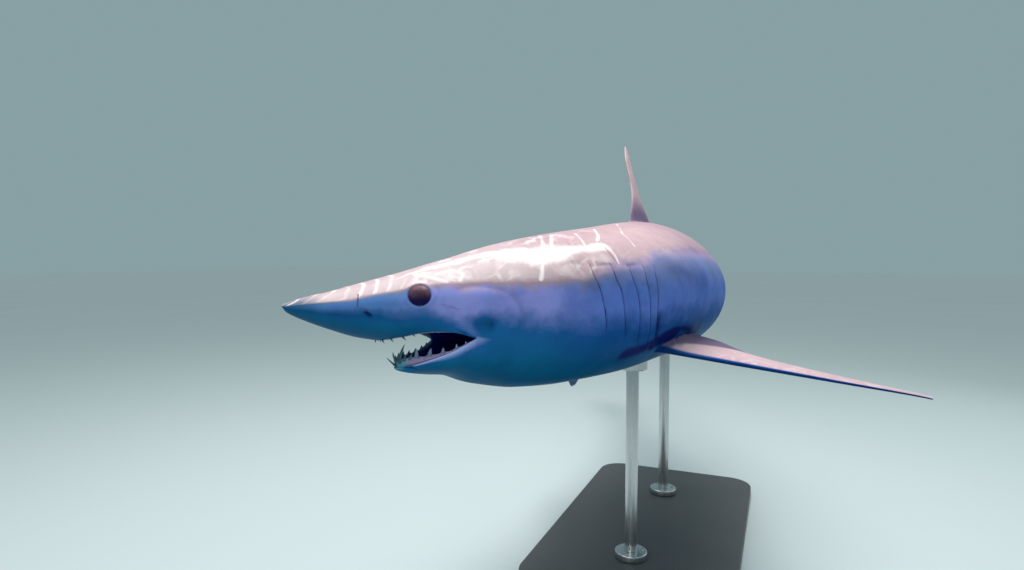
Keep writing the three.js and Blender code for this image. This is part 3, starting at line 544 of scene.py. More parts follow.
def round_eye(stations, phis, rows, columns):
    """Leads the skin's rows and columns into rings round each eye. Returns each place's ring, which
    is 1 at the lid's edge, and its way out from the middle as (aft, up)."""
    middle_row = int(np.argmin(np.abs(rows - EYE_STATION)))
    ring = np.full(stations.shape, FAR_RING)
    way = np.zeros((*stations.shape, 2))
    row_step = (rows[middle_row + 1] - rows[middle_row - 1]) / 2 * LENGTH
    for side in (1, -1):
        middle_column = int(np.argmin(np.abs(columns - side * EYE_PHI)))
        station, phi = np.array(EYE_STATION), np.array(side * EYE_PHI)
        tall = np.linalg.norm(level_skin(station, phi + 0.5) - level_skin(station, phi - 0.5))
        column_step = abs(columns[middle_column + 1] - columns[middle_column]) * tall
        row_rings = round(EYE_OPENING / row_step)
        column_rings = round(EYE_OPENING / column_step)
        spread = 3 * max(row_rings, column_rings) + 1
        span_r = slice(middle_row - spread, middle_row + spread + 1)
        span_c = slice(middle_column - spread, middle_column + spread + 1)
        across = ((np.arange(stations.shape[0]) - middle_row) / row_rings)[span_r, None]
        along = ((np.arange(stations.shape[1]) - middle_column) / column_rings)[None, span_c]
        square = np.maximum(np.abs(across), np.abs(along))
        size = np.maximum(np.hypot(across, along), 1e-9)
        crowded = 1 + (square - 1) * (1 - 0.72 * np.exp(-(square - 1) / 0.35))
        circle = np.where(square < 1, square * (1.5 - 0.5 * square), crowded)
        aft, round_up = across / size, along / size
        settled = smoothstep(1.4, 2.9, square)
        here_s, here_p = stations[span_r, span_c], phis[span_r, span_c]
        reach = circle * EYE_OPENING
        stations[span_r, span_c] = mix(EYE_STATION + aft * reach / LENGTH, here_s, settled)
        phis[span_r, span_c] = mix(side * EYE_PHI + round_up * reach / tall, here_p, settled)
        nearer = square < ring[span_r, span_c]
        ring[span_r, span_c] = np.where(nearer, mix(circle, square, settled), ring[span_r, span_c])
        here = np.stack(np.broadcast_arrays(aft, round_up * side), -1)
        way[span_r, span_c] = np.where(nearer[..., None], here, way[span_r, span_c])
    return ring, way


def lay_lids(points, ring, way, columns):
    """Draws the skin round each eye over its ball as a lid, and tucks the inner rows under it."""
    for side in (1, -1):
        middle, normal = eye_place(side)
        middle, normal = to_row(middle), TURN @ normal
        aft = on_skin(EYE_STATION + 1e-3, side * EYE_PHI) - on_skin(EYE_STATION - 1e-3, side * EYE_PHI)
        aft -= normal * (aft @ normal)
        aft /= np.linalg.norm(aft)
        up = np.cross(normal, aft) * side
        near = (ring < 2.9) & (np.sign(columns)[None, :] == side)
        rho = ring[near][:, None]
        own = points[near] - middle
        far = np.linalg.norm(own, axis=1, keepdims=True)
        edge = math.asin(LID_OPENING / EYE_BALL)
        polar = np.where(rho < 1, np.arcsin(np.minimum(rho, 1) * math.sin(edge)), edge + (rho - 1) * 0.6)
        flat = way[near][:, :1] * aft + way[near][:, 1:] * up
        ruled = normal * np.cos(polar) + flat * np.sin(polar)
        towards = mix(ruled, own / far, smoothstep(1.0, 1.9, rho))
        towards /= np.linalg.norm(towards, axis=1, keepdims=True)
        lid = EYE_BALL + mix(1.7 * MM, -7 * MM, smoothstep(1.25, 2.7, rho))
        both = (far + lid + np.sqrt((far - lid) ** 2 + (2.0 * MM) ** 2)) / 2
        out = mix(both, far, smoothstep(2.1, 2.85, rho))
        out = mix(EYE_BALL + 0.35 * MM, out, smoothstep(0.98, 1.13, rho))
        out = np.where(rho < 1, EYE_BALL + 0.35 * MM - 3.5 * MM * smoothstep(1.0, 0.85, rho), out)
        points[near] = middle + towards * out
    # painted shade at the lid's edge and on the rows tucked under it
    return smoothstep(1.03, 0.97, ring)


def jaw_skin(station, around):
    """Left and up of the lower jaw's skin: around is 0 at the lip or cheek and 1 under the chin."""
    corner_left, corner_up = section(station, CORNER_PHI)
    ahead = station <= MOUTH_CORNER[0]
    width = np.where(ahead, Curve(JAW, 1)(station), corner_left)
    lip = np.where(ahead, lower_lip_at(station), corner_up)
    chin = np.where(ahead, Curve(JAW, 2)(station), belly_at(station))
    turn = around * math.pi / 2
    reach = (np.cos(turn) ** LOWER_FULLNESS + np.sin(turn) ** LOWER_FULLNESS) ** (-1 / LOWER_FULLNESS)
    jaw_left, jaw_up = width * reach * np.cos(turn), lip - (chin + lip) * reach * np.sin(turn)
    body_left, body_up = section(station, CORNER_PHI * (1 - around))
    joined = smoothstep(MOUTH_CORNER[0], JAW_END - 0.004, station)
    return mix(jaw_left, body_left, joined), mix(jaw_up, body_up, joined)


def body_rows():
    """The stations of the skin's straight rows, and which rows hold the lips and the jaw's end."""
    tip = (-0.0014, -0.0013, -0.0011, -0.0008, -0.0004, 0.0002, 0.0010, 0.0020, 0.0032, 0.0048, 0.0067)
    snout = np.concatenate([tip, np.linspace(0.0088, HEAD_START, 30)])
    head = np.linspace(HEAD_START, MOUTH_CORNER[0], 72)[1:]
    jaw = np.linspace(MOUTH_CORNER[0], JAW_END, 44)[1:]
    neck = np.linspace(JAW_END, GILLS_START, 17)[1:-1]
    lips = len(snout) + len(head) - 1
    return np.concatenate([snout, head, jaw, neck]), lips, lips + len(jaw)


def tone_at(station, up):
    """-1 under the belly, 0 at the colour line and 1 along the back."""
    line = colour_line_at(station)
    above = (up - line) / np.maximum(back_at(station) - line, 1e-4)
    below = (up - line) / np.maximum(belly_at(station) + line, 1e-4)
    tone = np.clip(np.where(up > line, above, below), -1, 1)
    # the line is softer behind the gills
    return np.sign(tone) * np.abs(tone) ** mix(1.0, 1.45, smoothstep(0.18, 0.26, station))


def jaw_tone(station, around, k):
    """Tone of the jaw's skin at column k: deeper to the chin, partly as painted shade, with a painted
    highlight on the lit fold along the lip.
    """
    tone = mix(-0.60, -0.87, smoothstep(0.02, 0.65, around))
    fold = bell(around, mix(0.035, 0.20, smoothstep(0.078, 0.115, station)))
    return mix(tone, -0.30, 0.9 * fold * smoothstep(6, 13, k))


def lip_marks(station, up, k):
    """How strong the painted highlight on the lit fold under the side of the lower lip is, and how bare the
    jaw's front.
    """
    lip_height = np.where(station < MOUTH_CORNER[0], lower_lip_at(station), MOUTH_CORNER[1])
    down = np.maximum(lip_height - up, 0) * LENGTH / MM
    reach = mix(3.0, 15.0, smoothstep(0.080, 0.112, station))
    pale = np.clip(1 - down / reach, 0, 1) ** 1.5 * smoothstep(9.5, 12, k)
    return pale, smoothstep(6.5, 3.5, k) * smoothstep(5, 1, down)


def raise_skin(bm):
    """Moves each vertex out along its normal by its lift."""
    lift = bm.verts.layers.float["lift"]
    bm.normal_update()
    for vert in bm.verts:
        if vert[lift]:
            vert.co += vert.normal * vert[lift]
            vert[lift] = 0


def body_skin():
    """The skin of the body and head as one closed bmesh, with the mouth open and lined."""
    rows, lip_row, jaw_row = body_rows()
    mouth = np.linspace(0, CORNER_PHI, MOUTH_COLUMNS + 1)
    half = np.concatenate([mouth, np.linspace(CORNER_PHI, 180, BACK_COLUMNS + 1)[1:]])
    columns = np.concatenate([-half[:0:-1], half])
    count = np.arange(len(columns)) - len(half) + 1
    stations = np.repeat(rows[:, None], len(columns), 1)
    phis = np.repeat(columns[None, :], len(rows), 0)

    # ahead of the mouth's corners the rows lean forward to the upper lip
    in_mouth = np.abs(count) <= MOUTH_COLUMNS
    k = np.abs(count[in_mouth])
    sign = np.sign(count[in_mouth])
    lean = np.clip((rows[: lip_row + 1] - HEAD_START) / (MOUTH_CORNER[0] - HEAD_START), 0, 1)[:, None]
    from_row = np.minimum(stations[: lip_row + 1, in_mouth], HEAD_START)
    leant = mix(HEAD_START, LIPS["upper"][k, 0], lean)
    stations[: lip_row + 1, in_mouth] = np.where(lean > 0, leant, from_row)
    phis[: lip_row + 1, in_mouth] = mix(phis[0, in_mouth], sign * LIPS["upper"][k, 3], lean)
    ring, way = round_eye(stations, phis, rows, columns)

    gills = gill_rows(columns)
    rear = np.concatenate([np.linspace(GILLS_END, 0.56, 72)[1:], np.linspace(0.56, BODY_END, 68)[1:],
                           [TAIL_END]])
    stations = np.concatenate([stations, [row[0] for row in gills],
                               np.repeat(rear[:, None], len(columns), 1)])
    extra = len(stations) - len(phis)
    phis = np.concatenate([phis, np.repeat(columns[None, :], extra, 0)])
    ring = np.concatenate([ring, np.full((extra, len(columns)), FAR_RING)])
    way = np.concatenate([way, np.zeros((extra, len(columns), 2))])
    left, up = section(stations, phis)
    left[-1] *= 0
    up[-1] *= 0

    # the rows from the lower lip round the jaw to the throat
    first = lip_row + 1
    t = ((np.arange(first, jaw_row + 1) - first) / (jaw_row - first))[:, None]
    side = 1 - k / MOUTH_COLUMNS
    forward = mix(1.0, 1.35, side)
    jaw_station = mix(LIPS["lower"][k, 0], JAW_END, t**forward)
    around = side * (1 - (1 - t) ** mix(1.5, 7.0, side**2))
    jaw_left, jaw_up = jaw_skin(jaw_station, around)
    span = slice(first, jaw_row + 1)
    stations[span, in_mouth] = jaw_station
    left[span, in_mouth] = sign * jaw_left
    up[span, in_mouth] = jaw_up

    points = at(stations, left, up)
    lid_shade = lay_lids(points, ring, way, columns)
    tone = tone_at(stations, up)
    joined = smoothstep(0.112, 0.140, jaw_station)
    tone[span, in_mouth] = mix(jaw_tone(jaw_station, around, k), tone[span, in_mouth], joined)
    tone -= 0.2 * smoothstep(15, 4, np.abs(columns)) * smoothstep(0.150, 0.190, stations)
    lift, dark, shift = relief(stations, phis)
    on_jaw = np.zeros(stations.shape)
    on_jaw[span, in_mouth] = 1
    keep = (1 - on_jaw) * (ring > 1.3)
    lift = lift * keep
    tone += shift * (1 - on_jaw)
    dark = np.clip(dark * keep + lid_shade, 0, 1)
    # a notch of the lip where the front teeth end, darkened with painted shade
    notch = bell(k - 8.5, 1.1) * smoothstep(0.22, 0.0, t)
    lift[span, in_mouth] -= 2.5 * MM * notch
    dark[span, in_mouth] += 0.9 * notch
    gill_start = len(rows)
    for number, (_, height, shade) in enumerate(gills):
        lift[gill_start + number] += height
        dark[gill_start + number] = np.maximum(dark[gill_start + number], shade)
    # a painted highlight on the lit fold under the lower lip
    pale, front = np.zeros(stations.shape), np.zeros(stations.shape)
    pale[span, in_mouth], front[span, in_mouth] = lip_marks(jaw_station, jaw_up, k)
    pale *= smoothstep(0.132, 0.106, stations)
    marks = {
        "row": np.repeat(np.arange(len(stations))[:, None], len(columns), 1),
        "column": np.repeat(count[None, :], len(stations), 0),
        "lift": lift,
        "dark": dark,
        "tone": tone,
        "station": np.where(on_jaw > 0, np.maximum(stations, JAW_STATION), stations),
        "inside": np.zeros(stations.shape),
        "pale": pale,
        "front": front,
    }
    bm = drape(points, marks)
    open_mouth(bm, lip_row)
    weld(bm)
    raise_skin(bm)
    line_mouth(bm, lip_row)
    weld(bm)
    return bm


def open_mouth(bm, lip_row):
    row, column = (bm.verts.layers.float[name] for name in ("row", "column"))
    between = [
        face for face in bm.faces
        if {round(v[row]) for v in face.verts} == {lip_row, lip_row + 1}
        and max(abs(v[column]) for v in face.verts) < MOUTH_COLUMNS + 0.5
    ]
    bmesh.ops.delete(bm, geom=between, context="FACES_ONLY")


# How high the lower gum stands over the lip (millimetres), by column from the middle to a corner
GUM_HEIGHT = ((0, 11.5), (4, 13.0), (9, 13.5), (12, 12.0), (18, 8.0), (23, 5.2), (28, 3.2), (32, 1.6),
              (36, 0.0))
# The mouth's lining, step by step: way in from the lip (millimetres), height over the lip in the lower jaw
# as a part of the gum's and in millimetres, height in the upper jaw (millimetres), part of the way to the
# throat, how far inside it counts for its colour (deeper in, the colour darkens as painted shade), and the
# darkness of its painted shade
LINING = (
    (0.8, 0.00, 0.9, -1.0, 0.00, 0.00, 0.0), (1.7, 0.00, 0.5, -1.0, 0.00, 0.10, 0.2),
    (2.1, 0.00, -0.5, -0.2, 0.00, 0.25, 0.75), (1.9, 0.16, 0.0, 0.4, 0.00, 0.24, 0.4),
    (1.5, 0.38, 0.0, 0.2, 0.00, 0.22, 0.0), (1.6, 0.62, 0.0, -0.4, 0.00, 0.22, 0.0),
    (2.2, 0.82, 0.0, -1.2, 0.00, 0.24, 0.0), (3.4, 0.96, 0.0, -1.8, 0.00, 0.26, 0.0),
    (5.0, 1.00, 0.0, -2.0, 0.00, 0.28, 0.0), (6.8, 0.93, 0.0, -1.6, 0.00, 0.34, 0.1),
    (8.4, 0.74, 0.0, -0.4, 0.00, 0.42, 0.2), (9.8, 0.45, 0.0, 1.5, 0.00, 0.52, 0.3),
    (12.0, 0.10, -0.5, 4.5, 0.00, 0.66, 0.3), (15.0, 0.00, -2.5, 8.0, 0.02, 0.82, 0.3),
    (18.0, 0.00, -3.5, 12.0, 0.08, 0.92, 0.3), (18.0, 0.00, -4.5, 14.0, 0.20, 1.0, 0.3),
    (18.0, 0.00, -5.0, 15.0, 0.36, 1.0, 0.5), (18.0, 0.00, -5.0, 13.0, 0.54, 1.0, 0.7),
    (18.0, 0.00, -4.0, 8.0, 0.72, 1.0, 0.9), (18.0, 0.00, -2.0, 3.0, 0.88, 1.0, 1.0),
    (18.0, 0.00, 0.0, 0.0, 1.00, 1.0, 1.0),
)


def gum_height(column):
    """How high the lower gum stands at a column, in millimetres, with its low scallops."""
    away = np.abs(column)
    bumps = sum(bell(column - root[0], 1.3) for root in LOWER_TEETH if abs(root[0]) > 10)
    taper = smoothstep(MOUTH_COLUMNS, 26, away)
    return Curve(GUM_HEIGHT)(away) + (1.9 * bumps - 0.8) * taper * smoothstep(8, 12, away)


def lining_point(column, lower, step):
    inwards, gum_part, low_height, high_height, to_throat = step[:5]
    lip = "lower" if lower else "upper"
    station, left, up, in_station, in_left = side_place(lip, column)
    level_off = smoothstep(1, 0.9, abs(column) / MOUTH_COLUMNS)
    folded = smoothstep(5, 10, abs(column))
    height = level_off * high_height
    if lower:
        height = gum_part * gum_height(column) + low_height * level_off * folded
        # the floor never comes within 3 mm of the chin
        least = -Curve(JAW, 2)(station) * LENGTH + 3 * MM - up * LENGTH
        height = max(height * MM, min(least, 0)) / MM
    inwards *= mix(0.35, 1.0, float(level_off))
    station = station + in_station * inwards * MM / LENGTH
    left = left + in_left * inwards * MM / LENGTH
    up = up + height * MM / LENGTH
    turn = math.pi / 2 * (1 - abs(column) / MOUTH_COLUMNS)
    throat_left = math.copysign(THROAT[1] * math.cos(turn), column)
    throat_up = THROAT[3] + (-1 if lower else 1) * THROAT[2] * math.sin(turn)
    return at(mix(station, THROAT[0], to_throat), mix(left, throat_left, to_throat),
              mix(up, throat_up, to_throat))


def line_mouth(bm, lip_row):
    """Extrudes the lips' edge inwards over the gums, round the mouth and back to the throat."""
    row, column, inside, dark, pale, front = (
        bm.verts.layers.float[name] for name in ("row", "column", "inside", "dark", "pale", "front")
    )
    loop = [edge for edge in bm.edges if edge.is_boundary]
    for step in LINING:
        made = bmesh.ops.extrude_edge_only(bm, edges=loop)["geom"]
        for vert in (v for v in made if isinstance(v, bmesh.types.BMVert)):
            lower = vert[row] > lip_row + 0.5
            vert.co = lining_point(vert[column], lower, step)
            k = abs(vert[column])
            folded = float(smoothstep(3, 8, k)) if lower else 1.0 if step[5] > 0.3 else 0.15
            cheek = float(smoothstep(19, 31, k)) * float(smoothstep(0.95, 0.40, step[5]))
            vert[inside] = step[5] * (1 - 0.75 * cheek) * mix(0.30, 1.0, folded)
            # painted shade, deeper in the mouth
            vert[dark] = step[6] * (folded if lower else 0.3)
            vert[pale] = 0.0
            bare = float(smoothstep(11, 4, k)) if lower else 0.0
            far_side = 0.62 * float(smoothstep(-5, -9, vert[column]))
            vert[front] = max(bare, far_side) * (step[5] < 0.5)
        loop = [edge for edge in made if isinstance(edge, bmesh.types.BMEdge) and edge.is_boundary]
    bmesh.ops.holes_fill(bm, edges=loop, sides=0)


# ---- Fins ----
# lead and trail are (aft, out) points from a fin's root, thick is at the root and the tip
FIRST_DORSAL = {
    "lead": ((-0.024, -0.030), (0.001, 0.003), (0.0325, 0.038), (0.053, 0.0755), (0.0845, 0.0978)),
    "trail": ((0.092, -0.030), (0.1200, 0.0045), (0.0935, 0.030), (0.0905, 0.0652), (0.1005, 0.0948)),
    "thick": (17, 2.4),
}
SMALL_FIN = {
    "lead": ((-0.001, -0.010), (0.004, 0.002), (0.010, 0.010), (0.0150, 0.0150)),
    "trail": ((0.016, -0.010), (0.0280, 0.0010), (0.0190, 0.0080), (0.0175, 0.0148)),
    "thick": (5, 1.6),
}
CAUDAL_UPPER = {
    "lead": ((0.000, 0.000), (0.016, 0.034), (0.058, 0.088), (0.110, 0.121), (0.1480, 0.1300)),
    "trail": ((0.052, 0.000), (0.058, 0.030), (0.082, 0.072), (0.118, 0.110), (0.1505, 0.1270)),
    "thick": (14, 2.2),
}
CAUDAL_LOWER = {
    "lead": ((0.002, 0.000), (0.016, 0.030), (0.050, 0.070), (0.086, 0.096), (0.1060, 0.1040)),
    "trail": ((0.052, 0.000), (0.056, 0.024), (0.070, 0.054), (0.090, 0.083), (0.1085, 0.1010)),
    "thick": (14, 2.2),
}
PECTORAL = {
    "root": (0.272, 0.040, -0.0505),
    "lead": ((-0.004, -0.030), (0.008, 0.012), (0.032, 0.070), (0.063, 0.133), (0.0975, 0.1945)),
    "trail": ((0.064, -0.030), (0.0920, 0.0150), (0.0740, 0.0680), (0.084, 0.131), (0.1035, 0.1940)),
    "thick": (22, 2.2),
    "hump": 19,
}
PELVIC = {
    "root": (0.545, 0.020, -0.0440),
    "lead": ((-0.002, -0.018), (0.006, 0.004), (0.020, 0.024), (0.032, 0.036)),
    "trail": ((0.044, -0.018), (0.0620, 0.0080), (0.046, 0.022), (0.038, 0.0365)),
    "thick": (9, 1.8),
}
DORSAL_BEND = (0.0215, 0.005, 0.004)  # to the right at the tip, along the rear and the fore edge
# sweep, droop and nose-up in degrees, and how far the tip bows down
PECTORAL_LEFT = (0, 14.2, -3, 0.010)
PECTORAL_RIGHT = (23.3, 21, 2, 0.002)
PELVIC_POSE = (0, 38, 0, 0)
# Tones of the upper or left face, the other face, the fore edge, and the rear edge and tip
MIDLINE_TONES = (0.62, 0.62, 0.7, 0.7)
# the paired fins' dark lower faces and fore edges are partly painted shade and blue underwater light, as on
# the belly
PECTORAL_TONES = (0.60, -0.84, -0.86, 0.60)
PELVIC_TONES = (0.10, -0.95, -0.90, -0.2)
KEEL_FROM, KEEL_TO, KEEL_ROOT, KEEL_WIDTH, KEEL_THICK = 0.770, 0.930, 0.006, 0.0240, 9


def spline(points, t):
    """A smooth curve through points, evenly shared out from t = 0 to 1."""
    points = np.array(points, float)
    along = t * (len(points) - 1)
    i = np.minimum(along.astype(int), len(points) - 2)
    w = (along - i)[:, None]
    p0, p1 = points[np.maximum(i - 1, 0)], points[i]
    p2, p3 = points[i + 1], points[np.minimum(i + 2, len(points) - 1)]
    v0, v1 = (p2 - p0) / 2, (p3 - p1) / 2
    return ((2 * p1 - 2 * p2 + v0 + v1) * w**3 + (-3 * p1 + 3 * p2 - 2 * v0 - v1) * w**2 + v0 * w + p1)


def fin(shape, place, tones, rings=56, chord=18, flare=0.0, shade=(0, 0, 0), fore_edge=0.035):
    """A closed fin as a bmesh. place puts (aft, out, thickness, t, x) in the row frame.
    shade is how dark the painted shade makes its upper or left face low down and its fore edge (the fore
    edge partly the fin's own dark edge), and how dark the body's painted shadow is across its root."""
    t = np.concatenate([[0], np.linspace(0, 1, rings), [1]])
    lead, trail = spline(shape["lead"], t), spline(shape["trail"], t)
    x = 1 - np.cos(np.linspace(0, math.pi / 2, chord + 1))
    x = mix(x, np.linspace(0, 1, chord + 1), 0.35 * np.linspace(0, 1, chord + 1))
    x = np.concatenate([x, x[::-1]])
    face = np.concatenate([[0], np.ones(chord), -np.ones(chord), [0]])
    thick = mix(shape["thick"][0], shape["thick"][1], t)[:, None]
    half = 0.45 + thick / 2 * 2.6 * np.sqrt(x) * (1 - x)
    out = mix(lead[:, None, 1], trail[:, None, 1], x)
    half = half + flare * np.exp(-np.maximum(out, 0) / 0.006) * 4 * np.sqrt(x) * (1 - x) / 2
    hump = shape.get("hump", 0) * bell(np.maximum(out, 0), 0.020) * 2.6 * np.sqrt(x) * (1 - x)
    half = np.where(face > 0, half + hump, half) * face * MM
    half[0] = half[-1] = 0
    aft = mix(lead[:, None, 0], trail[:, None, 0], x)
    points = place(aft, out, half, np.repeat(t[:, None], len(x), 1), np.repeat(x[None], len(t), 0))
    fore = bell(x, fore_edge * mix(0.45, 1.0, smoothstep(0.15, 0.45, t[:, None])))
    rear = np.maximum(np.exp(-((1 - x) / 0.06))[None, :], smoothstep(0.90, 1.0, t)[:, None])
    side = np.where(face >= 0, tones[0], tones[1])[None, :]
    tone = mix(mix(side, tones[3], np.clip(rear, 0, 1)), tones[2], fore)
    upper = np.where(face >= 0, 1.0, 0.0)[None, :]
    # painted shade low on the upper or left face
    low = upper * smoothstep(0.54, 0.28, t)[:, None] * smoothstep(1.0, 0.4, x)[None, :] * shade[0]
    # a painted shadow of the body across the fin's root
    root = smoothstep(0.002, -0.002, out - 0.019 - 0.042 * x**1.5) * shade[2]
    # the fore edge's darkness is partly the fin's own dark edge and partly painted shade under it
    marks = {
        "tone": tone,
        "dark": np.maximum(np.maximum(low, root), fore * shade[1]),
        "station": np.full(aft.shape, FIN_STATION),
        "inside": np.zeros(aft.shape),
    }
    bm = drape(points, marks)
    weld(bm, 0.05 * MM)
    return bm


def midline_fin(root_station, direction, shape, bend=(0, 0, 0), **options):
    """A fin on the body's middle line; direction is 1 upwards and -1 downwards."""
    flex, curl, twist = bend
    on_tail = root_station >= TAIL_STATION
    edge_at = back_at if direction > 0 else belly_at
    root_height = 0 if on_tail else direction * float(edge_at(root_station))

    def place(aft, out, half, t, x):
        rear = curl * x * 4 * t * (1 - t)
        fore = twist * (1 - x) * 9.48 * t**3 * (1 - t)
        left = half / LENGTH - flex * t * t - rear - fore
        return at(root_station + aft, left, root_height + direction * out)

    return fin(shape, place, MIDLINE_TONES, **options)


def paired_fin(shape, side, pose, tones, **options):
    """A fin of a pair; side is 1 on the left and -1 on the right."""
    sweep, droop, nose_up = (math.radians(a) for a in pose[:3])
    station, root_left, root_up = shape["root"]
    _, aft_axis, left_axis = body_frame(station)
    origin = level_point(station, side * root_left, root_up)
    up_axis = np.array([0.0, 0.0, 1.0])
    outwards = left_axis * side * math.cos(droop) - up_axis * math.sin(droop)
    turn = Matrix.Rotation(-side * nose_up, 3, Vector(outwards))
    chord = np.array(turn @ Vector(aft_axis))
    upright = np.cross(outwards, chord) * side

    def place(aft, out, half, t, x):
        along = (aft * math.cos(sweep) + out * math.sin(sweep)) * LENGTH
        span = (out * math.cos(sweep) - aft * math.sin(sweep)) * LENGTH
        rise = half - pose[3] * t * t * LENGTH
        in_fin = along[..., None] * chord + span[..., None] * outwards
        return to_row(origin + in_fin + rise[..., None] * upright)

    return fin(shape, place, tones, **options)


def keel():
    """Both side keels of the tail as one blade through it."""
    t = np.linspace(0, 1, 60)
    station = mix(KEEL_FROM, KEEL_TO, t)
    reach = KEEL_ROOT + (KEEL_WIDTH - KEEL_ROOT) * np.sin(math.pi * t**1.15) ** 0.8
    angle = np.linspace(0, 2 * math.pi, 25)
    left = reach[:, None] * np.cos(angle)
    up = np.repeat((KEEL_THICK * MM / 2 / LENGTH * np.sin(angle))[None], len(t), 0)
    left = np.concatenate([left[:1] * 0, left, left[-1:] * 0])
    up = np.concatenate([up[:1] * 0, up, up[-1:] * 0])
    stations = np.repeat(np.concatenate([station[:1], station, station[-1:]])[:, None], len(angle), 1)
    marks = {
        "tone": np.where(up >= 0, 0.5, -0.6),
        "dark": np.zeros(stations.shape),
        "station": stations,
        "inside": np.zeros(stations.shape),
    }
    bm = drape(at(stations, left, up), marks)
    weld(bm)
    return bm


MARKS = ("tone", "dark", "station", "inside", "pale", "front")
FLESH_NODES = (
    "head", "lower_jaw", "trunk_front", "trunk_middle", "trunk_rear", "tail_stock",
    "caudal_fin_upper", "caudal_fin_lower", "dorsal_fin_first", "dorsal_fin_second", "anal_fin",
    "pectoral_fin_left", "pectoral_fin_right", "pelvic_fin_left", "pelvic_fin_right",
)


def union(body, parts):
    """Joins closed bmeshes to the body's. Their faces keep material 1, and the body's 0."""
    pieces = []
    for number, bm in enumerate([body, *parts]):
        mesh = bpy.data.meshes.new(f"part_{number}")
        for face in bm.faces:
            face.material_index = 1 if number else 0
        bm.to_mesh(mesh)
        for _ in range(2):
            mesh.materials.append(None)
        piece = bpy.data.objects.new(f"part_{number}", mesh)
        bpy.context.scene.collection.objects.link(piece)
        pieces.append(piece)
    whole = pieces[0]
    for part in pieces[1:]:
        join = whole.modifiers.new("join", "BOOLEAN")
        join.operation = "UNION"
        join.solver = "MANIFOLD"
        join.object = part
    bpy.context.view_layer.update()
    depsgraph = bpy.context.evaluated_depsgraph_get()
    joined = bpy.data.meshes.new_from_object(whole.evaluated_get(depsgraph))
    result = bmesh.new()
    result.from_mesh(joined)
    for piece in pieces:
        mesh = piece.data
        bpy.data.objects.remove(piece)
        bpy.data.meshes.remove(mesh)
    bpy.data.meshes.remove(joined)
    return result


def carry_marks(sources, target):
    """Gives each vertex the marks of the nearest vertex of the sources."""
    total = sum(len(bm.verts) for bm in sources)
    tree = KDTree(total)
    kept = []
    for bm in sources:
        layers = [bm.verts.layers.float.get(name) for name in MARKS]
        for vert in bm.verts:
            tree.insert(vert.co, len(kept))
            kept.append(tuple(vert[layer] if layer else 0.0 for layer in layers))
    tree.balance()
    for name in MARKS:
        old = target.verts.layers.float.get(name)
        if old:
            target.verts.layers.float.remove(old)
    layers = [target.verts.layers.float.new(name) for name in MARKS]
    for vert in target.verts:
        values = kept[tree.find(vert.co)[1]]
        for layer, value in zip(layers, values):
            vert[layer] = value


PAIRED_FINS_BELOW = PIVOT_HEIGHT - 0.03  # height under which a joint is a paired fin's
# painted shade in the crease round a paired fin's root
ROOT_CREASE_SHADE = 0.75  # darkness of the crease round its root


def fair_joints(bm, rings, passes):
    """Rounds the corner where each fin leaves the body."""
    joint = {
        vert for edge in bm.edges
        if len(edge.link_faces) == 2 and len({face.material_index for face in edge.link_faces}) == 2
        for vert in edge.verts
    }
    # painted shade in the crease round the roots of the paired fins
    dark = bm.verts.layers.float["dark"]
    for vert in joint:
        if vert.co.z < PAIRED_FINS_BELOW:
            vert[dark] = max(vert[dark], ROOT_CREASE_SHADE)
    for _ in range(rings):
        joint |= {other for vert in joint for edge in vert.link_edges for other in edge.verts}
    for _ in range(passes):
        bmesh.ops.smooth_vert(
            bm, verts=list(joint), factor=0.5, use_axis_x=True, use_axis_y=True, use_axis_z=True
        )


def shark_skin(settings):
    body = body_skin()
    small = {"rings": 24, "chord": 10, "flare": 2}
    middling = {"rings": 30, "chord": 12, "flare": 3}
    large = {"rings": 76, "chord": 22, "flare": 6, "shade": (0, 0.72, 0.70), "fore_edge": 0.055}
    parts = [
        midline_fin(FIRST_DORSAL_STATION, 1, FIRST_DORSAL, DORSAL_BEND, flare=9, shade=(0.75, 0.1, 0)),
        midline_fin(SECOND_DORSAL_STATION, 1, SMALL_FIN, **small),
        midline_fin(ANAL_STATION, -1, SMALL_FIN, **small),
        paired_fin(PECTORAL, 1, PECTORAL_LEFT, PECTORAL_TONES, **large),
        paired_fin(PECTORAL, -1, PECTORAL_RIGHT, PECTORAL_TONES, **large),
        paired_fin(PELVIC, 1, PELVIC_POSE, PELVIC_TONES, **middling),
        paired_fin(PELVIC, -1, PELVIC_POSE, PELVIC_TONES, **middling),
        keel(),
        midline_fin(TAIL_STATION, 1, CAUDAL_UPPER),
        midline_fin(TAIL_STATION, -1, CAUDAL_LOWER),
    ]
    whole = union(body, parts)
    carry_marks([body, *parts], whole)
    for bm in (body, *parts):
        bm.free()
    bmesh.ops.remove_doubles(whole, verts=whole.verts, dist=0.05 * MM)
    fair_joints(whole, rings=3, passes=6)
    bmesh.ops.dissolve_degenerate(whole, dist=0.02 * MM, edges=whole.edges)
    for face in whole.faces:
        face.material_index = 0
    sharpen(whole, SKIN_CREASE)
    new_piece("shark_skin", whole, skin_material(settings), FLESH_NODES)


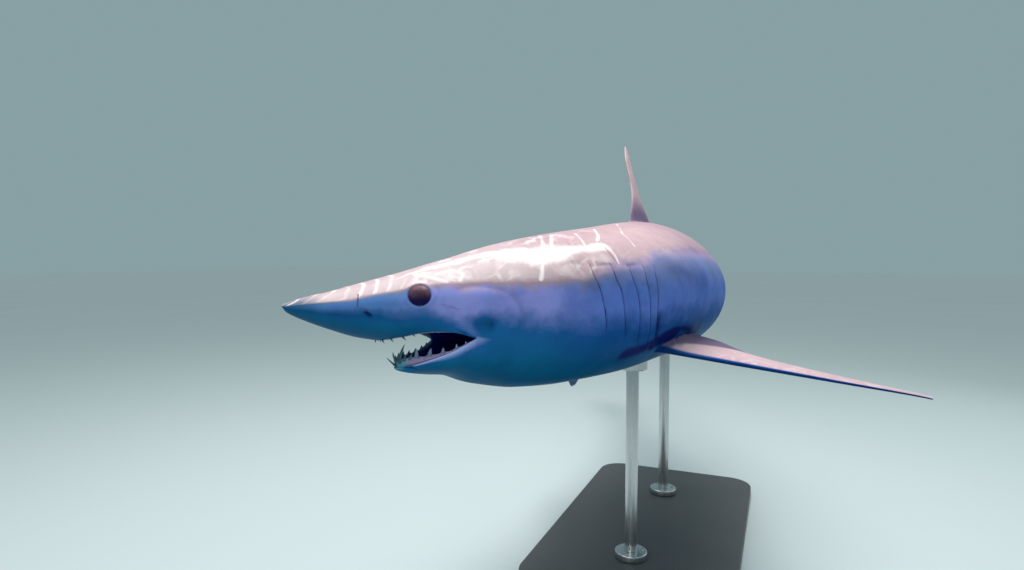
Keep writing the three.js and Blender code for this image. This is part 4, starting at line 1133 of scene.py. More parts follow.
# ---- Materials ----
class Shader:
    """A material with a Principled surface, and short ways to add and join nodes."""

    def __init__(self, name, **constants):
        self.material = bpy.data.materials.new(name)
        self.material.use_nodes = True
        self.tree = self.material.node_tree
        self.surface = self.tree.nodes["Principled BSDF"]
        for socket, value in constants.items():
            self.surface.inputs[socket.replace("_", " ")].default_value = value

    def put(self, socket, value):
        if isinstance(value, bpy.types.NodeSocket):
            self.tree.links.new(value, socket)
        else:
            socket.default_value = value

    def node(self, kind, inputs=None, **properties):
        made = self.tree.nodes.new(kind)
        for name, value in properties.items():
            setattr(made, name, value)
        for name, value in (inputs or {}).items():
            self.put(made.inputs[name], value)
        return made

    def math(self, operation, a, b=0.0, clamp=False):
        node = self.node("ShaderNodeMath", {0: a, 1: b}, operation=operation, use_clamp=clamp)
        return node.outputs[0]

    def times(self, a, b, clamp=False):
        return self.math("MULTIPLY", a, b, clamp)

    def plus(self, a, b):
        return self.math("ADD", a, b)

    def most(self, a, b):
        return self.math("MAXIMUM", a, b)

    def vector(self, operation, a, b=(0, 0, 0), scale=1.0, out=0):
        node = self.node("ShaderNodeVectorMath", {0: a, 1: b}, operation=operation)
        self.put(node.inputs[3], scale)
        return node.outputs[out]

    def step(self, value, low, high, to=(0.0, 1.0), kind="SMOOTHSTEP"):
        """A soft step of value from low to high."""
        made = self.node(
            "ShaderNodeMapRange",
            {"Value": value, "From Min": low, "From Max": high, "To Min": to[0], "To Max": to[1]},
            interpolation_type=kind,
        )
        return made.outputs["Result"]

    def attribute(self, name):
        return self.node("ShaderNodeAttribute", attribute_name=name).outputs["Fac"]

    def place(self):
        return self.node("ShaderNodeTexCoord").outputs["Object"]

    def noise(self, scale, detail=3.0, roughness=0.5, vector=None):
        inputs = {"Scale": scale, "Detail": detail, "Roughness": roughness}
        inputs["Vector"] = self.place() if vector is None else vector
        return self.node("ShaderNodeTexNoise", inputs).outputs["Fac"]

    def swing(self, reach, scale, detail=3.0, roughness=0.5):
        """Noise to both sides of zero, reach from end to end."""
        return self.times(self.math("SUBTRACT", self.noise(scale, detail, roughness), 0.5), reach)

    def cells(self, scale, feature="F1", vector=None, randomness=1.0):
        inputs = {"Scale": scale, "Randomness": randomness}
        inputs["Vector"] = self.place() if vector is None else vector
        return self.node("ShaderNodeTexVoronoi", inputs, feature=feature).outputs["Distance"]

    def blend(self, factor, a, b, kind="MIX"):
        made = self.node("ShaderNodeMix", data_type="RGBA", blend_type=kind)
        self.put(made.inputs["Factor"], factor)
        self.put(made.inputs["A"], rgba(a))
        self.put(made.inputs["B"], rgba(b))
        return made.outputs["Result"]

    def ramp(self, value, stops):
        made = self.node("ShaderNodeValToRGB", {"Fac": value})
        elements = made.color_ramp.elements
        while len(elements) < len(stops):
            elements.new(0.5)
        for element, (place, colour) in zip(elements, stops):
            element.position = place
            element.color = rgba(colour)
        return made.outputs["Color"]

    def bump(self, height, distance, strength=1.0, under=None):
        inputs = {"Height": height, "Distance": distance, "Strength": strength}
        if under is not None:
            inputs["Normal"] = under
        return self.node("ShaderNodeBump", inputs).outputs["Normal"]

    def finish(self, colour, roughness, normal=None):
        self.put(self.surface.inputs["Base Color"], colour)
        self.put(self.surface.inputs["Roughness"], roughness)
        if normal is not None:
            self.put(self.surface.inputs["Normal"], normal)
        return self.material


def rgba(colour):
    if isinstance(colour, bpy.types.NodeSocket):
        return colour
    return (*colour[:3], 1.0)


def near_skin_line(shader, line):
    """Metres from a line through (station, phi) places on the skin, as a socket."""
    points = on_skin(*np.array(line).T)
    place = shader.place()
    best = None
    for start, end in zip(points, points[1:]):
        start, end = Vector(start), Vector(end)
        way = end - start
        from_start = shader.vector("SUBTRACT", place, start)
        share = shader.vector("DOT_PRODUCT", from_start, way, out=1)
        share = shader.times(share, 1 / way.length_squared, clamp=True)
        across = shader.vector("SUBTRACT", from_start, shader.vector("SCALE", tuple(way), scale=share))
        distance = shader.vector("LENGTH", across, out=1)
        best = distance if best is None else shader.math("MINIMUM", best, distance)
    return best


# Marks on the left side of the hide, as lines of (station, phi)
SCRATCH = ((0.0437, 120.8), (0.0424, 102.8), (0.0419, 88.2))
WRINKLES = (
    ((0.0937, 84.4), (0.0976, 83.1), (0.1020, 82.1)),
    ((0.0962, 81.4), (0.1001, 80.8), (0.1050, 80.7)),
    ((0.1203, 88.6), (0.1266, 87.0), (0.1302, 84.3), (0.1352, 78.6)),
)
# Painted caustic light on the left side of the back, the first line a broad painted glare: line, outer and
# inner reach (millimetres), strength
PAINTED_CAUSTICS = (
    (((0.1500, 138.0), (0.1616, 131.3), (0.1750, 128.5), (0.1853, 130.0)), 34, 6, 1.0),
    (((0.1853, 131.0), (0.2026, 131.3), (0.2235, 130.4)), 17, 3, 0.85),
    (((0.1672, 121.6), (0.1603, 103.4)), 5, 1, 0.9),
    (((0.0929, 153.0), (0.1123, 150.0), (0.1360, 150.0), (0.1485, 145.0), (0.1540, 136.0)), 13, 2, 0.8),
    (((0.0957, 133.5), (0.1068, 134.4), (0.1120, 124.0), (0.1082, 115.4)), 6, 1, 0.7),
    (((0.0880, 136.0), (0.0957, 122.0), (0.1000, 117.0)), 6, 1, 0.7),
    (((0.2929, 169.9), (0.2603, 146.4), (0.2526, 127.3)), 3, 1, 0.45),
    (((0.2200, 157.9), (0.2096, 135.3)), 4, 1, 0.6), (((0.1922, 166.4), (0.1783, 142.9)), 5, 1, 0.7),
    (((0.2019, 164.6), (0.1846, 142.4)), 5, 1, 0.6),
    (((0.2471, 162.8), (0.2325, 146.4), (0.2248, 139.8)), 4, 1, 0.7),
)
# the snout's pale bars are painted caustic light
CAUSTIC_BAR_SPACING = 0.0098  # stations from one pale bar of the snout to the next
SCAR_DARK = ((0.2239, 130.0), (0.2227, 122.5), (0.2231, 116.5), (0.2239, 112.0))
SCAR_PALE = ((0.2239, 130.0), (0.2265, 126.8), (0.2262, 119.5), (0.2245, 112.0))


def hide_colour(shader, settings, tone, station, ragged):
    """Back, flank and belly with an uneven line between them, deeper to the front and rear."""
    drift = shader.swing(0.26, 9, 4)
    uneven = shader.times(shader.plus(drift, ragged), shader.step(tone, -0.95, -0.6))
    level = shader.step(shader.plus(tone, uneven), -1.2, 1.0, kind="LINEAR")
    belly, low, deep, middle, flank, edge, back = (np.array(paint) for paint in (
        settings.belly_colour, settings.low_colour, settings.deep_colour, settings.middle_colour,
        settings.flank_colour, settings.edge_colour, settings.back_colour,
    ))
    # the blues deepen towards the belly partly as painted shade of the underside and blue underwater light;
    # the living mako is white below
    colour = shader.ramp(level, (
        (0.000, belly), (0.030, belly), (0.080, low), (0.130, low), (0.225, deep), (0.342, middle),
        (0.394, mix(flank, middle, 0.55)), (0.438, flank), (0.505, flank),
        (0.530, mix(flank, edge, 0.45)), (0.562, edge), (0.620, back), (0.820, back),
        (1.000, back * (0.84, 0.80, 0.83)),
    ))
    lilac = shader.times(shader.step(level, 0.46, 0.56), shader.step(level, 0.66, 0.58))
    lilac = shader.times(lilac, shader.step(station, 0.175, 0.235, (0.0, 0.75)))
    colour = shader.blend(lilac, colour, settings.lilac_colour)

    # the snout and all behind the gills are a deeper blue, and the back is duskier to the rear
    blue = shader.times(shader.step(tone, 0.10, -0.05), shader.step(tone, -0.95, -0.7))
    snout = shader.times(blue, shader.step(station, 0.112, 0.052))
    snout = shader.times(snout, shader.step(tone, -0.72, -0.36, (0.25, 1.0)))
    colour = shader.blend(snout, colour, (0.28, 0.63, 0.65), "MULTIPLY")
    rear = shader.times(blue, shader.step(station, 0.150, 0.215))
    colour = shader.blend(rear, colour, (0.37, 0.64, 0.83), "MULTIPLY")
    dusky = shader.step(tone, 0.0, 0.2)
    for start, end, paint in ((0.13, 0.20, (0.84, 0.76, 0.79)), (0.28, 0.37, (0.72, 0.72, 0.79))):
        far = shader.times(shader.step(station, start, end), dusky)
        colour = shader.blend(far, colour, paint, "MULTIPLY")
    tip = shader.times(shader.step(station, 0.028, 0.006), shader.step(tone, 1.5, 0.2))
    colour = shader.blend(shader.times(tip, 0.75), colour, settings.low_colour)

    # soft clouds over the flank
    cloud = shader.times(shader.step(shader.noise(13, 4, 0.55), 0.42, 0.68, (0.0, 0.55)), blue)
    colour = shader.blend(cloud, colour, (0.45, 0.62, 0.74), "MULTIPLY")

    mottle = shader.step(shader.noise(34, 5, 0.6), 0.35, 0.75, (0.0, 0.35))
    return shader.blend(mottle, colour, settings.mottle_colour, "MULTIPLY")


def caustic_light(shader, tone, station):
    """How bright the painted caustic light is: a painted net over the back, painted bars across the snout,
    and painted streaks and a glare behind.
    """
    warp = shader.node("ShaderNodeTexNoise", {"Scale": 14, "Detail": 3, "Vector": shader.place()})
    bent = shader.vector("SUBTRACT", warp.outputs["Color"], (0.5,) * 3)
    bent = shader.vector("MULTIPLY", bent, (2.4,) * 3)
    stretched = shader.vector("ADD", shader.vector("MULTIPLY", shader.place(), (34, 15, 34)), bent)
    net = shader.step(shader.cells(1.0, "DISTANCE_TO_EDGE", stretched), 0.16, 0.0)
    net = shader.times(net, shader.step(shader.noise(17, 2), 0.38, 0.58))
    net = shader.times(net, shader.step(station, 0.055, 0.080))
    net = shader.times(net, shader.step(station, 0.27, 0.19))
    wobble = shader.plus(shader.times(shader.noise(11, 3), 0.022), shader.times(tone, -0.010))
    along = shader.plus(station, wobble)
    bars = shader.math("SINE", shader.times(along, 2 * math.pi / CAUSTIC_BAR_SPACING))
    bars = shader.times(shader.step(bars, 0.45, 1.0), shader.step(station, 0.080, 0.062))
    caustic = shader.most(shader.times(net, 0.75), bars)
    caustic = shader.times(caustic, shader.step(tone, 0.04, 0.24))
    caustic = shader.times(caustic, shader.step(shader.noise(24, 2), 0.30, 0.60, (0.15, 0.75)))
    frayed = shader.swing(1.0, 38, 4, 0.6)
    for line, far_edge, near_edge, strength in PAINTED_CAUSTICS:
        away = near_skin_line(shader, line)
        away = shader.plus(away, shader.times(frayed, far_edge * 1.3 * MM))
        mark = shader.times(shader.step(away, far_edge * MM, near_edge * MM), strength)
        caustic = shader.most(caustic, mark)
    return caustic


def add_pores(shader, settings, colour, tone, station):
    """Sensory pores over the snout."""
    pores = shader.step(shader.cells(150), 0.16, 0.06)
    on_snout = shader.times(shader.step(station, 0.085, 0.06), shader.step(tone, 0.9, 0.3))
    sparse = shader.step(shader.noise(28, 1), 0.50, 0.62)
    pores = shader.times(shader.times(pores, on_snout), sparse)
    return shader.blend(shader.times(pores, 0.6), colour, settings.crease_shade_and_pore_colour)


def add_scars(shader, settings, colour):
    """A scratch, wrinkles and a healed scar, as the new colour and the depth of the grooves."""
    scratch = shader.step(near_skin_line(shader, SCRATCH), 1.4 * MM, 0.5 * MM)
    colour = shader.blend(shader.times(scratch, 0.85), colour, settings.scar_colour)
    grooves = scratch
    for line in WRINKLES:
        wrinkle = shader.step(near_skin_line(shader, line), 1.6 * MM, 0.4 * MM)
        grooves = shader.most(grooves, shader.times(wrinkle, 0.5))
        # the wrinkles' dark lines are painted shade in their grooves
        colour = shader.blend(shader.times(wrinkle, 0.18), colour, settings.crease_shade_and_pore_colour)
    for line, near_edge, far_edge, strength, paint in (
        (SCAR_PALE, 3.4, 1.2, 0.55, settings.caustic_light_and_scar_rim_colour),
        (SCAR_DARK, 1.5, 0.5, 0.70, settings.scar_colour),
    ):
        mark = shader.step(near_skin_line(shader, line), near_edge * MM, far_edge * MM)
        colour = shader.blend(shader.times(mark, strength), colour, paint)
    return colour, grooves


def add_mouth(shader, settings, colour, dark, inside):
    """Gums, a throat darkened with painted shade, and the sea-green front of the jaw."""
    gum, throat = np.array(settings.gum_colour), np.array(settings.throat_shade_colour)
    blotch = shader.swing(0.24, 150, 4)
    lining = shader.ramp(shader.plus(inside, blotch), (
        (0.0, gum * 1.1), (0.26, gum), (0.36, gum * (0.22, 0.75, 0.6)),
        (0.50, mix(gum * (0.1, 0.6, 0.5), throat, 0.6)),
        (0.75, throat), (1.0, throat * 0.8),
    ))
    specks = shader.step(shader.noise(230, 3), 0.48, 0.68, (0.0, 0.55))
    lining = shader.blend(specks, lining, gum * (0.25, 0.25, 0.45))
    # painted shade over the lining
    lining = shader.blend(shader.times(dark, 0.85), lining, settings.crease_shade_and_pore_colour)
    colour = shader.blend(shader.step(inside, 0.02, 0.10), colour, lining)
    front = shader.plus(shader.attribute("front"), shader.times(blotch, 1.5))
    front = shader.step(front, 0.05, 1.0, (0.0, 0.8))
    return shader.blend(front, colour, settings.front_colour)


def skin_material(settings):
    shader = Shader("mako_skin", Coat_Weight=0.06, Coat_Roughness=0.30, Specular_IOR_Level=0.01)
    tone, dark = shader.attribute("tone"), shader.attribute("dark")
    station, inside = shader.attribute("station"), shader.attribute("inside")
    ragged = shader.swing(0.20, 42, 5, 0.65)
    colour = hide_colour(shader, settings, tone, station, ragged)
    # painted caustic light and a painted glare over the back
    colour = shader.blend(caustic_light(shader, tone, station), colour, settings.caustic_light_and_scar_rim_colour)
    colour = add_pores(shader, settings, colour, tone, station)
    colour, grooves = add_scars(shader, settings, colour)

    # a painted highlight on the lit fold along each side of the lower lip
    frayed_lip_highlight = shader.plus(shader.attribute("pale"), shader.times(ragged, 0.5))
    pale = shader.step(frayed_lip_highlight, 0.05, 1.0, (0.0, 0.9), kind="LINEAR")
    colour = shader.blend(pale, colour, settings.lip_fold_highlight_colour)

    # creases, hollows, gill slits and nostrils go dark with painted shade, and the pectoral fins' roots
    # with a painted shadow of the body
    colour = shader.blend(shader.times(dark, 0.97), colour, settings.crease_shade_and_pore_colour)
    colour = add_mouth(shader, settings, colour, dark, inside)

    # fine denticle grain over soft unevenness
    grain = shader.cells(settings.grain_per_metre)
    normal = shader.bump(shader.noise(45, 3), 0.8 * MM, 0.35)
    normal = shader.bump(grain, 0.25 * MM, 0.35, normal)
    normal = shader.bump(shader.times(grooves, -1.0), 1.2 * MM, 0.8, normal)
    rough = shader.step(shader.noise(22, 4), 0.3, 0.7, (0.38, 0.54))
    rough = shader.plus(rough, shader.times(inside, -0.12))
    return shader.finish(colour, rough, normal)


def tooth_material(settings):
    shader = Shader("tooth_enamel", Coat_Weight=0.12, Coat_Roughness=0.10, Specular_IOR_Level=0.3)
    rise = shader.attribute("rise")
    streaks = shader.noise(260, 3)
    # the crowns' blue-grey is painted shade and blue underwater light over enamel that is ivory
    root, enamel = np.array(settings.shaded_root_colour), np.array(settings.shaded_enamel_colour)
    colour = shader.ramp(shader.plus(rise, shader.times(streaks, 0.10)), (
        (0.0, root), (0.22, root), (0.42, enamel), (1.0, np.minimum(enamel * 1.1, 1.0)),
    ))
    colour = shader.blend(shader.attribute("fore"), colour, (0.16, 0.50, 0.42), "MULTIPLY")
    rough = shader.step(streaks, 0.3, 0.7, (0.16, 0.30))
    return shader.finish(colour, rough, shader.bump(streaks, 0.1 * MM, 0.3))


def eye_material(settings):
    shader = Shader("glass_eye", Coat_Weight=0.06, Coat_Roughness=0.04, Specular_IOR_Level=0.06)
    outwards, rise = shader.attribute("outwards"), shader.attribute("rise")
    grain = shader.noise(320, 4)
    # the brown over the upper half is partly the iris and partly a painted sheen from above
    iris = shader.blend(shader.step(rise, -0.05, 0.75), settings.low_colour, settings.iris_and_sheen_colour)
    iris = shader.blend(shader.step(grain, 0.3, 0.8, (0.0, 0.45)), iris, settings.low_colour)
    pupil = shader.step(shader.plus(outwards, shader.times(grain, 0.03)), 0.46, 0.40)
    colour = shader.blend(shader.times(pupil, 0.30), iris, settings.pupil_colour)
    colour = shader.blend(shader.step(outwards, 0.80, 0.95), colour, settings.pupil_colour)
    return shader.finish(colour, shader.step(grain, 0.2, 0.8, (0.34, 0.42)))


def powder_material(settings):
    shader = Shader("powder_coat", Specular_IOR_Level=0.45)
    orange_peel = shader.noise(700, 2)
    cloud = shader.noise(5, 3)
    paint = np.array(settings.base_colour)
    colour = shader.blend(shader.step(cloud, 0.3, 0.7), paint, paint * 1.25)
    fleck = shader.step(shader.cells(900), 0.12, 0.05)
    colour = shader.blend(shader.times(fleck, 0.25), colour, (0.3, 0.31, 0.32))
    rough = shader.step(cloud, 0.3, 0.7, (0.42, 0.52))
    return shader.finish(colour, rough, shader.bump(orange_peel, 0.15 * MM, 0.35))


def steel_material(settings):
    shader = Shader("brushed_steel", Metallic=1.0)
    long_grain = shader.vector("MULTIPLY", shader.place(), (900, 900, 14))
    brushed = shader.noise(1.0, 4, 0.6, long_grain)
    colour = shader.blend(brushed, settings.steel_colour, np.array(settings.steel_colour) * 0.82)
    rough = shader.step(brushed, 0.25, 0.75, (0.24, 0.36))
    return shader.finish(colour, rough, shader.bump(brushed, 0.05 * MM, 0.4))


def floor_material(settings):
    shader = Shader("studio_floor", Specular_IOR_Level=0.3)
    cloud = shader.noise(1.5, 4)
    colour = shader.blend(cloud, settings.floor_colour, np.array(settings.floor_colour) * 0.97)
    rough = shader.step(cloud, 0.3, 0.7, (0.55, 0.65))
    return shader.finish(colour, rough, shader.bump(shader.noise(300, 2), 0.1 * MM, 0.2))


# ---- Eyes ----
def eyeballs(settings):
    material = eye_material(settings)
    for name, side in (("left", 1), ("right", -1)):
        middle, normal = eye_place(side)
        middle, normal = to_row(middle), TURN @ normal
        bm = bmesh.new()
        bmesh.ops.create_uvsphere(bm, u_segments=72, v_segments=48, radius=settings.ball_radius)
        outwards = bm.verts.layers.float.new("outwards")
        rise = bm.verts.layers.float.new("rise")
        facing = Vector((0, 0, 1)).rotation_difference(Vector(normal)).to_matrix()
        for vert in bm.verts:
            polar = vert.co.normalized().angle(Vector((0, 0, 1)), 0.0)
            vert[outwards] = polar
            # the cornea stands a little proud of the ball
            vert.co *= 1 + settings.cornea * float(smoothstep(0.62, 0.2, polar))
        bmesh.ops.rotate(bm, verts=bm.verts, cent=(0, 0, 0), matrix=facing)
        for vert in bm.verts:
            vert[rise] = vert.co.z / settings.ball_radius
        bmesh.ops.translate(bm, verts=bm.verts, vec=Vector(middle))
        new_piece(f"eyeball_{name}", bm, material, [f"eye_{name}"])


# ---- Teeth ----
# Teeth: column (left of the middle above 0), way in from the lip and height of the neck over the
# gum's crest, height, width (millimetres), lean out, hook back in, lean to the jaw's corner
LOWER_TEETH = (
    (-0.7, 1.0, -8.0, 13, 9.6, 1.20, 0.25, 0.0), (0.7, 1.8, -3.5, 17, 9.6, 0.62, 0.30, 0.0),
    (3.2, 2.6, -2.5, 24, 12.0, -0.10, 0.28, 0.1), (6.4, 2.8, -3.0, 10, 6.8, 0.10, 0.10, 0.6),
    (9.0, 3.4, -3.0, 9, 6.4, 0.15, 0.10, 0.6),
    (12.2, 3.6, -1.5, 13.5, 9.4, 0.25, 0.15, 0.12), (17.5, 3.8, -1.5, 10.8, 9.4, 0.25, 0.15, 0.34),
    (22.8, 3.8, -1.5, 7.6, 8.0, 0.25, 0.15, 0.10), (28.0, 3.6, -1.5, 6.6, 6.2, 0.22, 0.15, 0.0),
    (31.8, 3.4, -1.5, 5.2, 4.6, 0.20, 0.15, 0.0),
    (-3.6, 2.4, -3.5, 7, 6.4, 0.15, 0.20, 0.5), (-6.8, 3.0, -3.0, 6.4, 6.4, 0.20, 0.15, 0.5),
    (-10.2, 3.4, -2.0, 7, 6.8, 0.10, 0.10, 0.6), (-14.2, 3.6, -1.5, 6.6, 7.2, 0.10, 0.10, 0.6),
    (-18.6, 3.6, -1.5, 6.0, 7.0, 0.10, 0.10, 0.5), (-23.0, 3.6, -1.5, 5.6, 6.4, 0.15, 0.10, 0.4),
    (-27.4, 3.6, -1.5, 5.2, 5.8, 0.15, 0.10, 0.4), (-31.4, 3.4, -1.5, 4.6, 5.0, 0.15, 0.10, 0.3),
    # the inner teeth, waiting behind the front ones
    (4.8, 5.8, -4.0, 11, 5.6, -0.1, 0.2, 0.5),
    (7.6, 6.2, -4.0, 9.5, 5.4, -0.1, 0.2, 0.6),
)
UPPER_SIDE_TEETH = (
    (1.6, 2.6, -1.5, 8.0, 6.4, 0.45, 0.20, 0.80), (5.0, 2.8, -1.5, 8.0, 6.8, 0.40, 0.20, 0.90),
    (9.4, 3.0, -1.5, 8.4, 7.4, 0.35, 0.20, 0.90), (13.6, 3.4, -1.5, 6.4, 6.0, 0.30, 0.15, 0.70),
    (18.4, 3.6, -1.5, 4.6, 4.6, 0.30, 0.15, 0.40), (22.4, 3.8, -1.5, 4.4, 4.4, 0.25, 0.15, 0.35),
    (26.2, 3.8, -1.5, 4.2, 4.2, 0.25, 0.15, 0.30), (29.8, 3.6, -1.2, 3.8, 3.6, 0.20, 0.15, 0.25),
)
UPPER_TEETH = (*UPPER_SIDE_TEETH, *((-column, *rest) for column, *rest in UPPER_SIDE_TEETH))
# Columns over which the teeth change from side ones to front ones
FRONT_TEETH = {"lower": (11.5, 8.0), "upper": (24, 12)}
# Part of a tooth's height, its width there, and how thick it is beside its width
TOOTH_PROFILE = (
    (-0.16, 1.05, 0.72), (0.00, 1.08, 0.70), (0.09, 0.90, 0.66), (0.20, 0.76, 0.62), (0.36, 0.64, 0.60),
    (0.54, 0.50, 0.60), (0.72, 0.35, 0.62), (0.87, 0.19, 0.66), (0.96, 0.08, 0.75), (1.0, 0.015, 0.8),
)


def tooth(bm, front, root, axes, shape):
    """A slender tooth: an oval ring pulled up ring by ring, leaning and curving back."""
    rise, fore = (bm.verts.layers.float[name] for name in ("rise", "fore"))
    out, aside, up = axes
    height, width, lean, hook, back = shape
    ring = bmesh.ops.create_circle(bm, segments=12, radius=1.0)["verts"]
    turns = {vert: math.atan2(vert.co.y, vert.co.x) for vert in ring}
    for number, (part, wide, flat) in enumerate(TOOTH_PROFILE):
        if number:
            edges = {edge for vert in ring for edge in vert.link_edges if edge.other_vert(vert) in ring}
            pulled = bmesh.ops.extrude_edge_only(bm, edges=list(edges))["geom"]
            last = ring
            ring = [vert for vert in pulled if isinstance(vert, bmesh.types.BMVert)]
            for vert in ring:
                below = next(e.other_vert(vert) for e in vert.link_edges if e.other_vert(vert) in last)
                turns[vert] = turns[below]
        grown = max(part, 0.0)
        leant = up * part + out * (lean * part - hook * part**2)
        centre = root + height * (leant + aside * back * grown**1.4)
        for vert in ring:
            turn = turns[vert]
            vert.co = centre + (aside * math.cos(turn) + out * (math.sin(turn) * flat)) * (width * wide / 2)
            vert[rise] = grown
            vert[fore] = front


def set_teeth(bm, lip, rows, chance):
    upwards = 1 if lip == "lower" else -1
    for column, inset, over, height, width, lean, hook, back in rows:
        column += chance.uniform(-0.15, 0.15)
        station, left, up, in_station, in_left = side_place(lip, column)
        inset *= MM / LENGTH
        rim = at(station, left, up)
        inner = at(station + in_station * inset, left + in_left * inset, up)
        out = Vector(rim - inner).normalized()
        upright = Vector(up_axis()) * upwards
        aside = Vector(up_axis()).cross(out) * (1 if column >= 0 else -1)
        crest = float(gum_height(column)) if lip == "lower" else 0.0
        root = Vector(inner) + upright * (crest + over) * MM
        tall = height * MM * chance.uniform(0.96, 1.04)
        front = float(smoothstep(*FRONT_TEETH[lip], abs(column)))
        tooth(bm, front, root, (out, aside, upright), (tall, width * MM, lean, hook, back))


def teeth(settings):
    material = tooth_material(settings)
    chance = np.random.default_rng(7)
    for lip, node in (("lower", "lower_jaw"), ("upper", "head")):
        bm = bmesh.new()
        bm.verts.layers.float.new("rise")
        bm.verts.layers.float.new("fore")
        set_teeth(bm, lip, LOWER_TEETH if lip == "lower" else UPPER_TEETH, chance)
        bmesh.ops.holes_fill(bm, edges=[edge for edge in bm.edges if edge.is_boundary], sides=0)
        bmesh.ops.recalc_face_normals(bm, faces=bm.faces)
        new_piece(f"teeth_{lip}", bm, material, [node])


# ---- Stand ----
def middle_of(node):
    low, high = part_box(node)
    return (low + high) / 2, high - low


def base_plate(settings):
    middle, size = middle_of("stand_base")
    bm = bmesh.new()
    bmesh.ops.create_cube(bm, size=1.0)
    bmesh.ops.scale(bm, verts=bm.verts, vec=size)
    upright = [edge for edge in bm.edges if abs(edge.verts[0].co.z - edge.verts[1].co.z) > size.z / 2]
    bevel = {"affect": "EDGES", "profile": 0.5, "material": -1}
    bmesh.ops.bevel(bm, geom=upright, offset=settings.corner_radius, segments=16, **bevel)
    rims = [edge for edge in bm.edges if abs(abs(edge.verts[0].co.z) - size.z / 2) < 1e-6
            and abs(edge.verts[0].co.z - edge.verts[1].co.z) < 1e-6]
    bmesh.ops.bevel(bm, geom=rims, offset=settings.edge_round, segments=4, **bevel)
    bmesh.ops.translate(bm, verts=bm.verts, vec=middle)
    sharpen(bm, EDGE_CREASE)
    new_piece("stand_plate", bm, powder_material(settings), ["stand_base"])


def turned(outline, steps, centre):
    """A piece turned about an upright axis from (radius, height) points."""
    bm = bmesh.new()
    verts = [bm.verts.new((radius, 0, height)) for radius, height in outline]
    edges = [bm.edges.new(pair) for pair in zip(verts, verts[1:])]
    bmesh.ops.spin(
        bm, geom=verts + edges, cent=(0, 0, 0), axis=(0, 0, 1), angle=2 * math.pi, steps=steps,
        use_merge=True,
    )
    bmesh.ops.remove_doubles(bm, verts=bm.verts, dist=1e-6)
    bmesh.ops.translate(bm, verts=bm.verts, vec=centre)
    bmesh.ops.recalc_face_normals(bm, faces=bm.faces)
    return bm


def rounded_ends(radius, low, high, edge):
    """The outline of a turned rod with rounded ends, from its axis at the bottom to the top."""
    turns = [math.pi / 2 * step / 4 for step in range(5)]
    bottom = [(radius - edge + edge * math.sin(a), low + edge - edge * math.cos(a)) for a in turns]
    top = [(radius - edge + edge * math.cos(a), high - edge + edge * math.sin(a)) for a in turns]
    return [(0, low), *bottom, *top, (0, high)]


def turned_like(node, edge, steps, longer=(0, 0)):
    """A turned rod with rounded ends in the place of a CAD node, a little longer at each end."""
    middle, size = middle_of(node)
    low, high = middle.z - size.z / 2 + longer[0], middle.z + size.z / 2 + longer[1]
    outline = rounded_ends(size.x / 2, low, high, edge)
    return turned(outline, steps, Vector((middle.x, middle.y, 0)))


# A screw's outline: part of the head's radius, and height over the collar in millimetres
SCREW = ((0, -1), (1, -1), (1, 1.8), (0.88, 2.4), (0.5, 2.4), (0.5, 0.6), (0, 0.6))
SCREW_RING = 0.36  # the screws' way out as a part of the collar's width


def socket_screws(bm_target, middle, size, head):
    """Three small socket screws round a collar's top."""
    ring_radius, top = size.x * SCREW_RING, middle.z + size.z / 2
    for number in range(3):
        angle = 2 * math.pi * number / 3 + 0.4
        x, y = ring_radius * math.cos(angle), ring_radius * math.sin(angle)
        outline = [(head * part, top + height * MM) for part, height in SCREW]
        screw = turned(outline, 24, Vector((middle.x + x, middle.y + y, 0)))
        mesh = bpy.data.meshes.new("screw")
        screw.to_mesh(mesh)
        screw.free()
        bm_target.from_mesh(mesh)
        bpy.data.meshes.remove(mesh)


# A cup's rings from its foot to the middle of its top: part of its radius and of its height
CUP_STEPS = ((1.0, 0.12), (1.0, 0.5), (1.0, 1.0), (0.94, 1.0), (0.8, 1.0), (0.6, 1.0), (0.4, 1.0),
             (0.2, 1.0), (0.01, 1.0))


def belly_cup(bm, middle, size, tree, clearance):
    """A round cup whose top is dished to the belly above it."""
    radius = size.x / 2
    low = middle.z - size.z / 2
    made = bmesh.ops.create_circle(bm, cap_ends=True, cap_tris=False, segments=64, radius=radius * 0.86)
    bottom = made["verts"]
    bmesh.ops.translate(bm, verts=bottom, vec=(middle.x, middle.y, low))
    ring = list({edge for vert in bottom for edge in vert.link_edges})
    high = middle.z + size.z / 2
    for scale, share in CUP_STEPS:
        pulled = bmesh.ops.extrude_edge_only(bm, edges=ring)["geom"]
        fresh = [v for v in pulled if isinstance(v, bmesh.types.BMVert)]
        ring = [e for e in pulled if isinstance(e, bmesh.types.BMEdge) and e.is_boundary]
        for vert in fresh:
            flat = Vector((vert.co.x - middle.x, vert.co.y - middle.y, 0)).normalized() * radius * scale
            x, y = middle.x + flat.x, middle.y + flat.y
            hit = tree.ray_cast(Vector((x, y, low - 0.1)), Vector((0, 0, 1)))[0]
            top = high if hit is None else min(hit.z - clearance, high)
            vert.co = Vector((x, y, mix(low, top, share)))
    bmesh.ops.remove_doubles(bm, verts=bm.verts, dist=0.4 * MM)
    bmesh.ops.holes_fill(bm, edges=[edge for edge in bm.edges if edge.is_boundary], sides=0)
    bmesh.ops.recalc_face_normals(bm, faces=bm.faces)


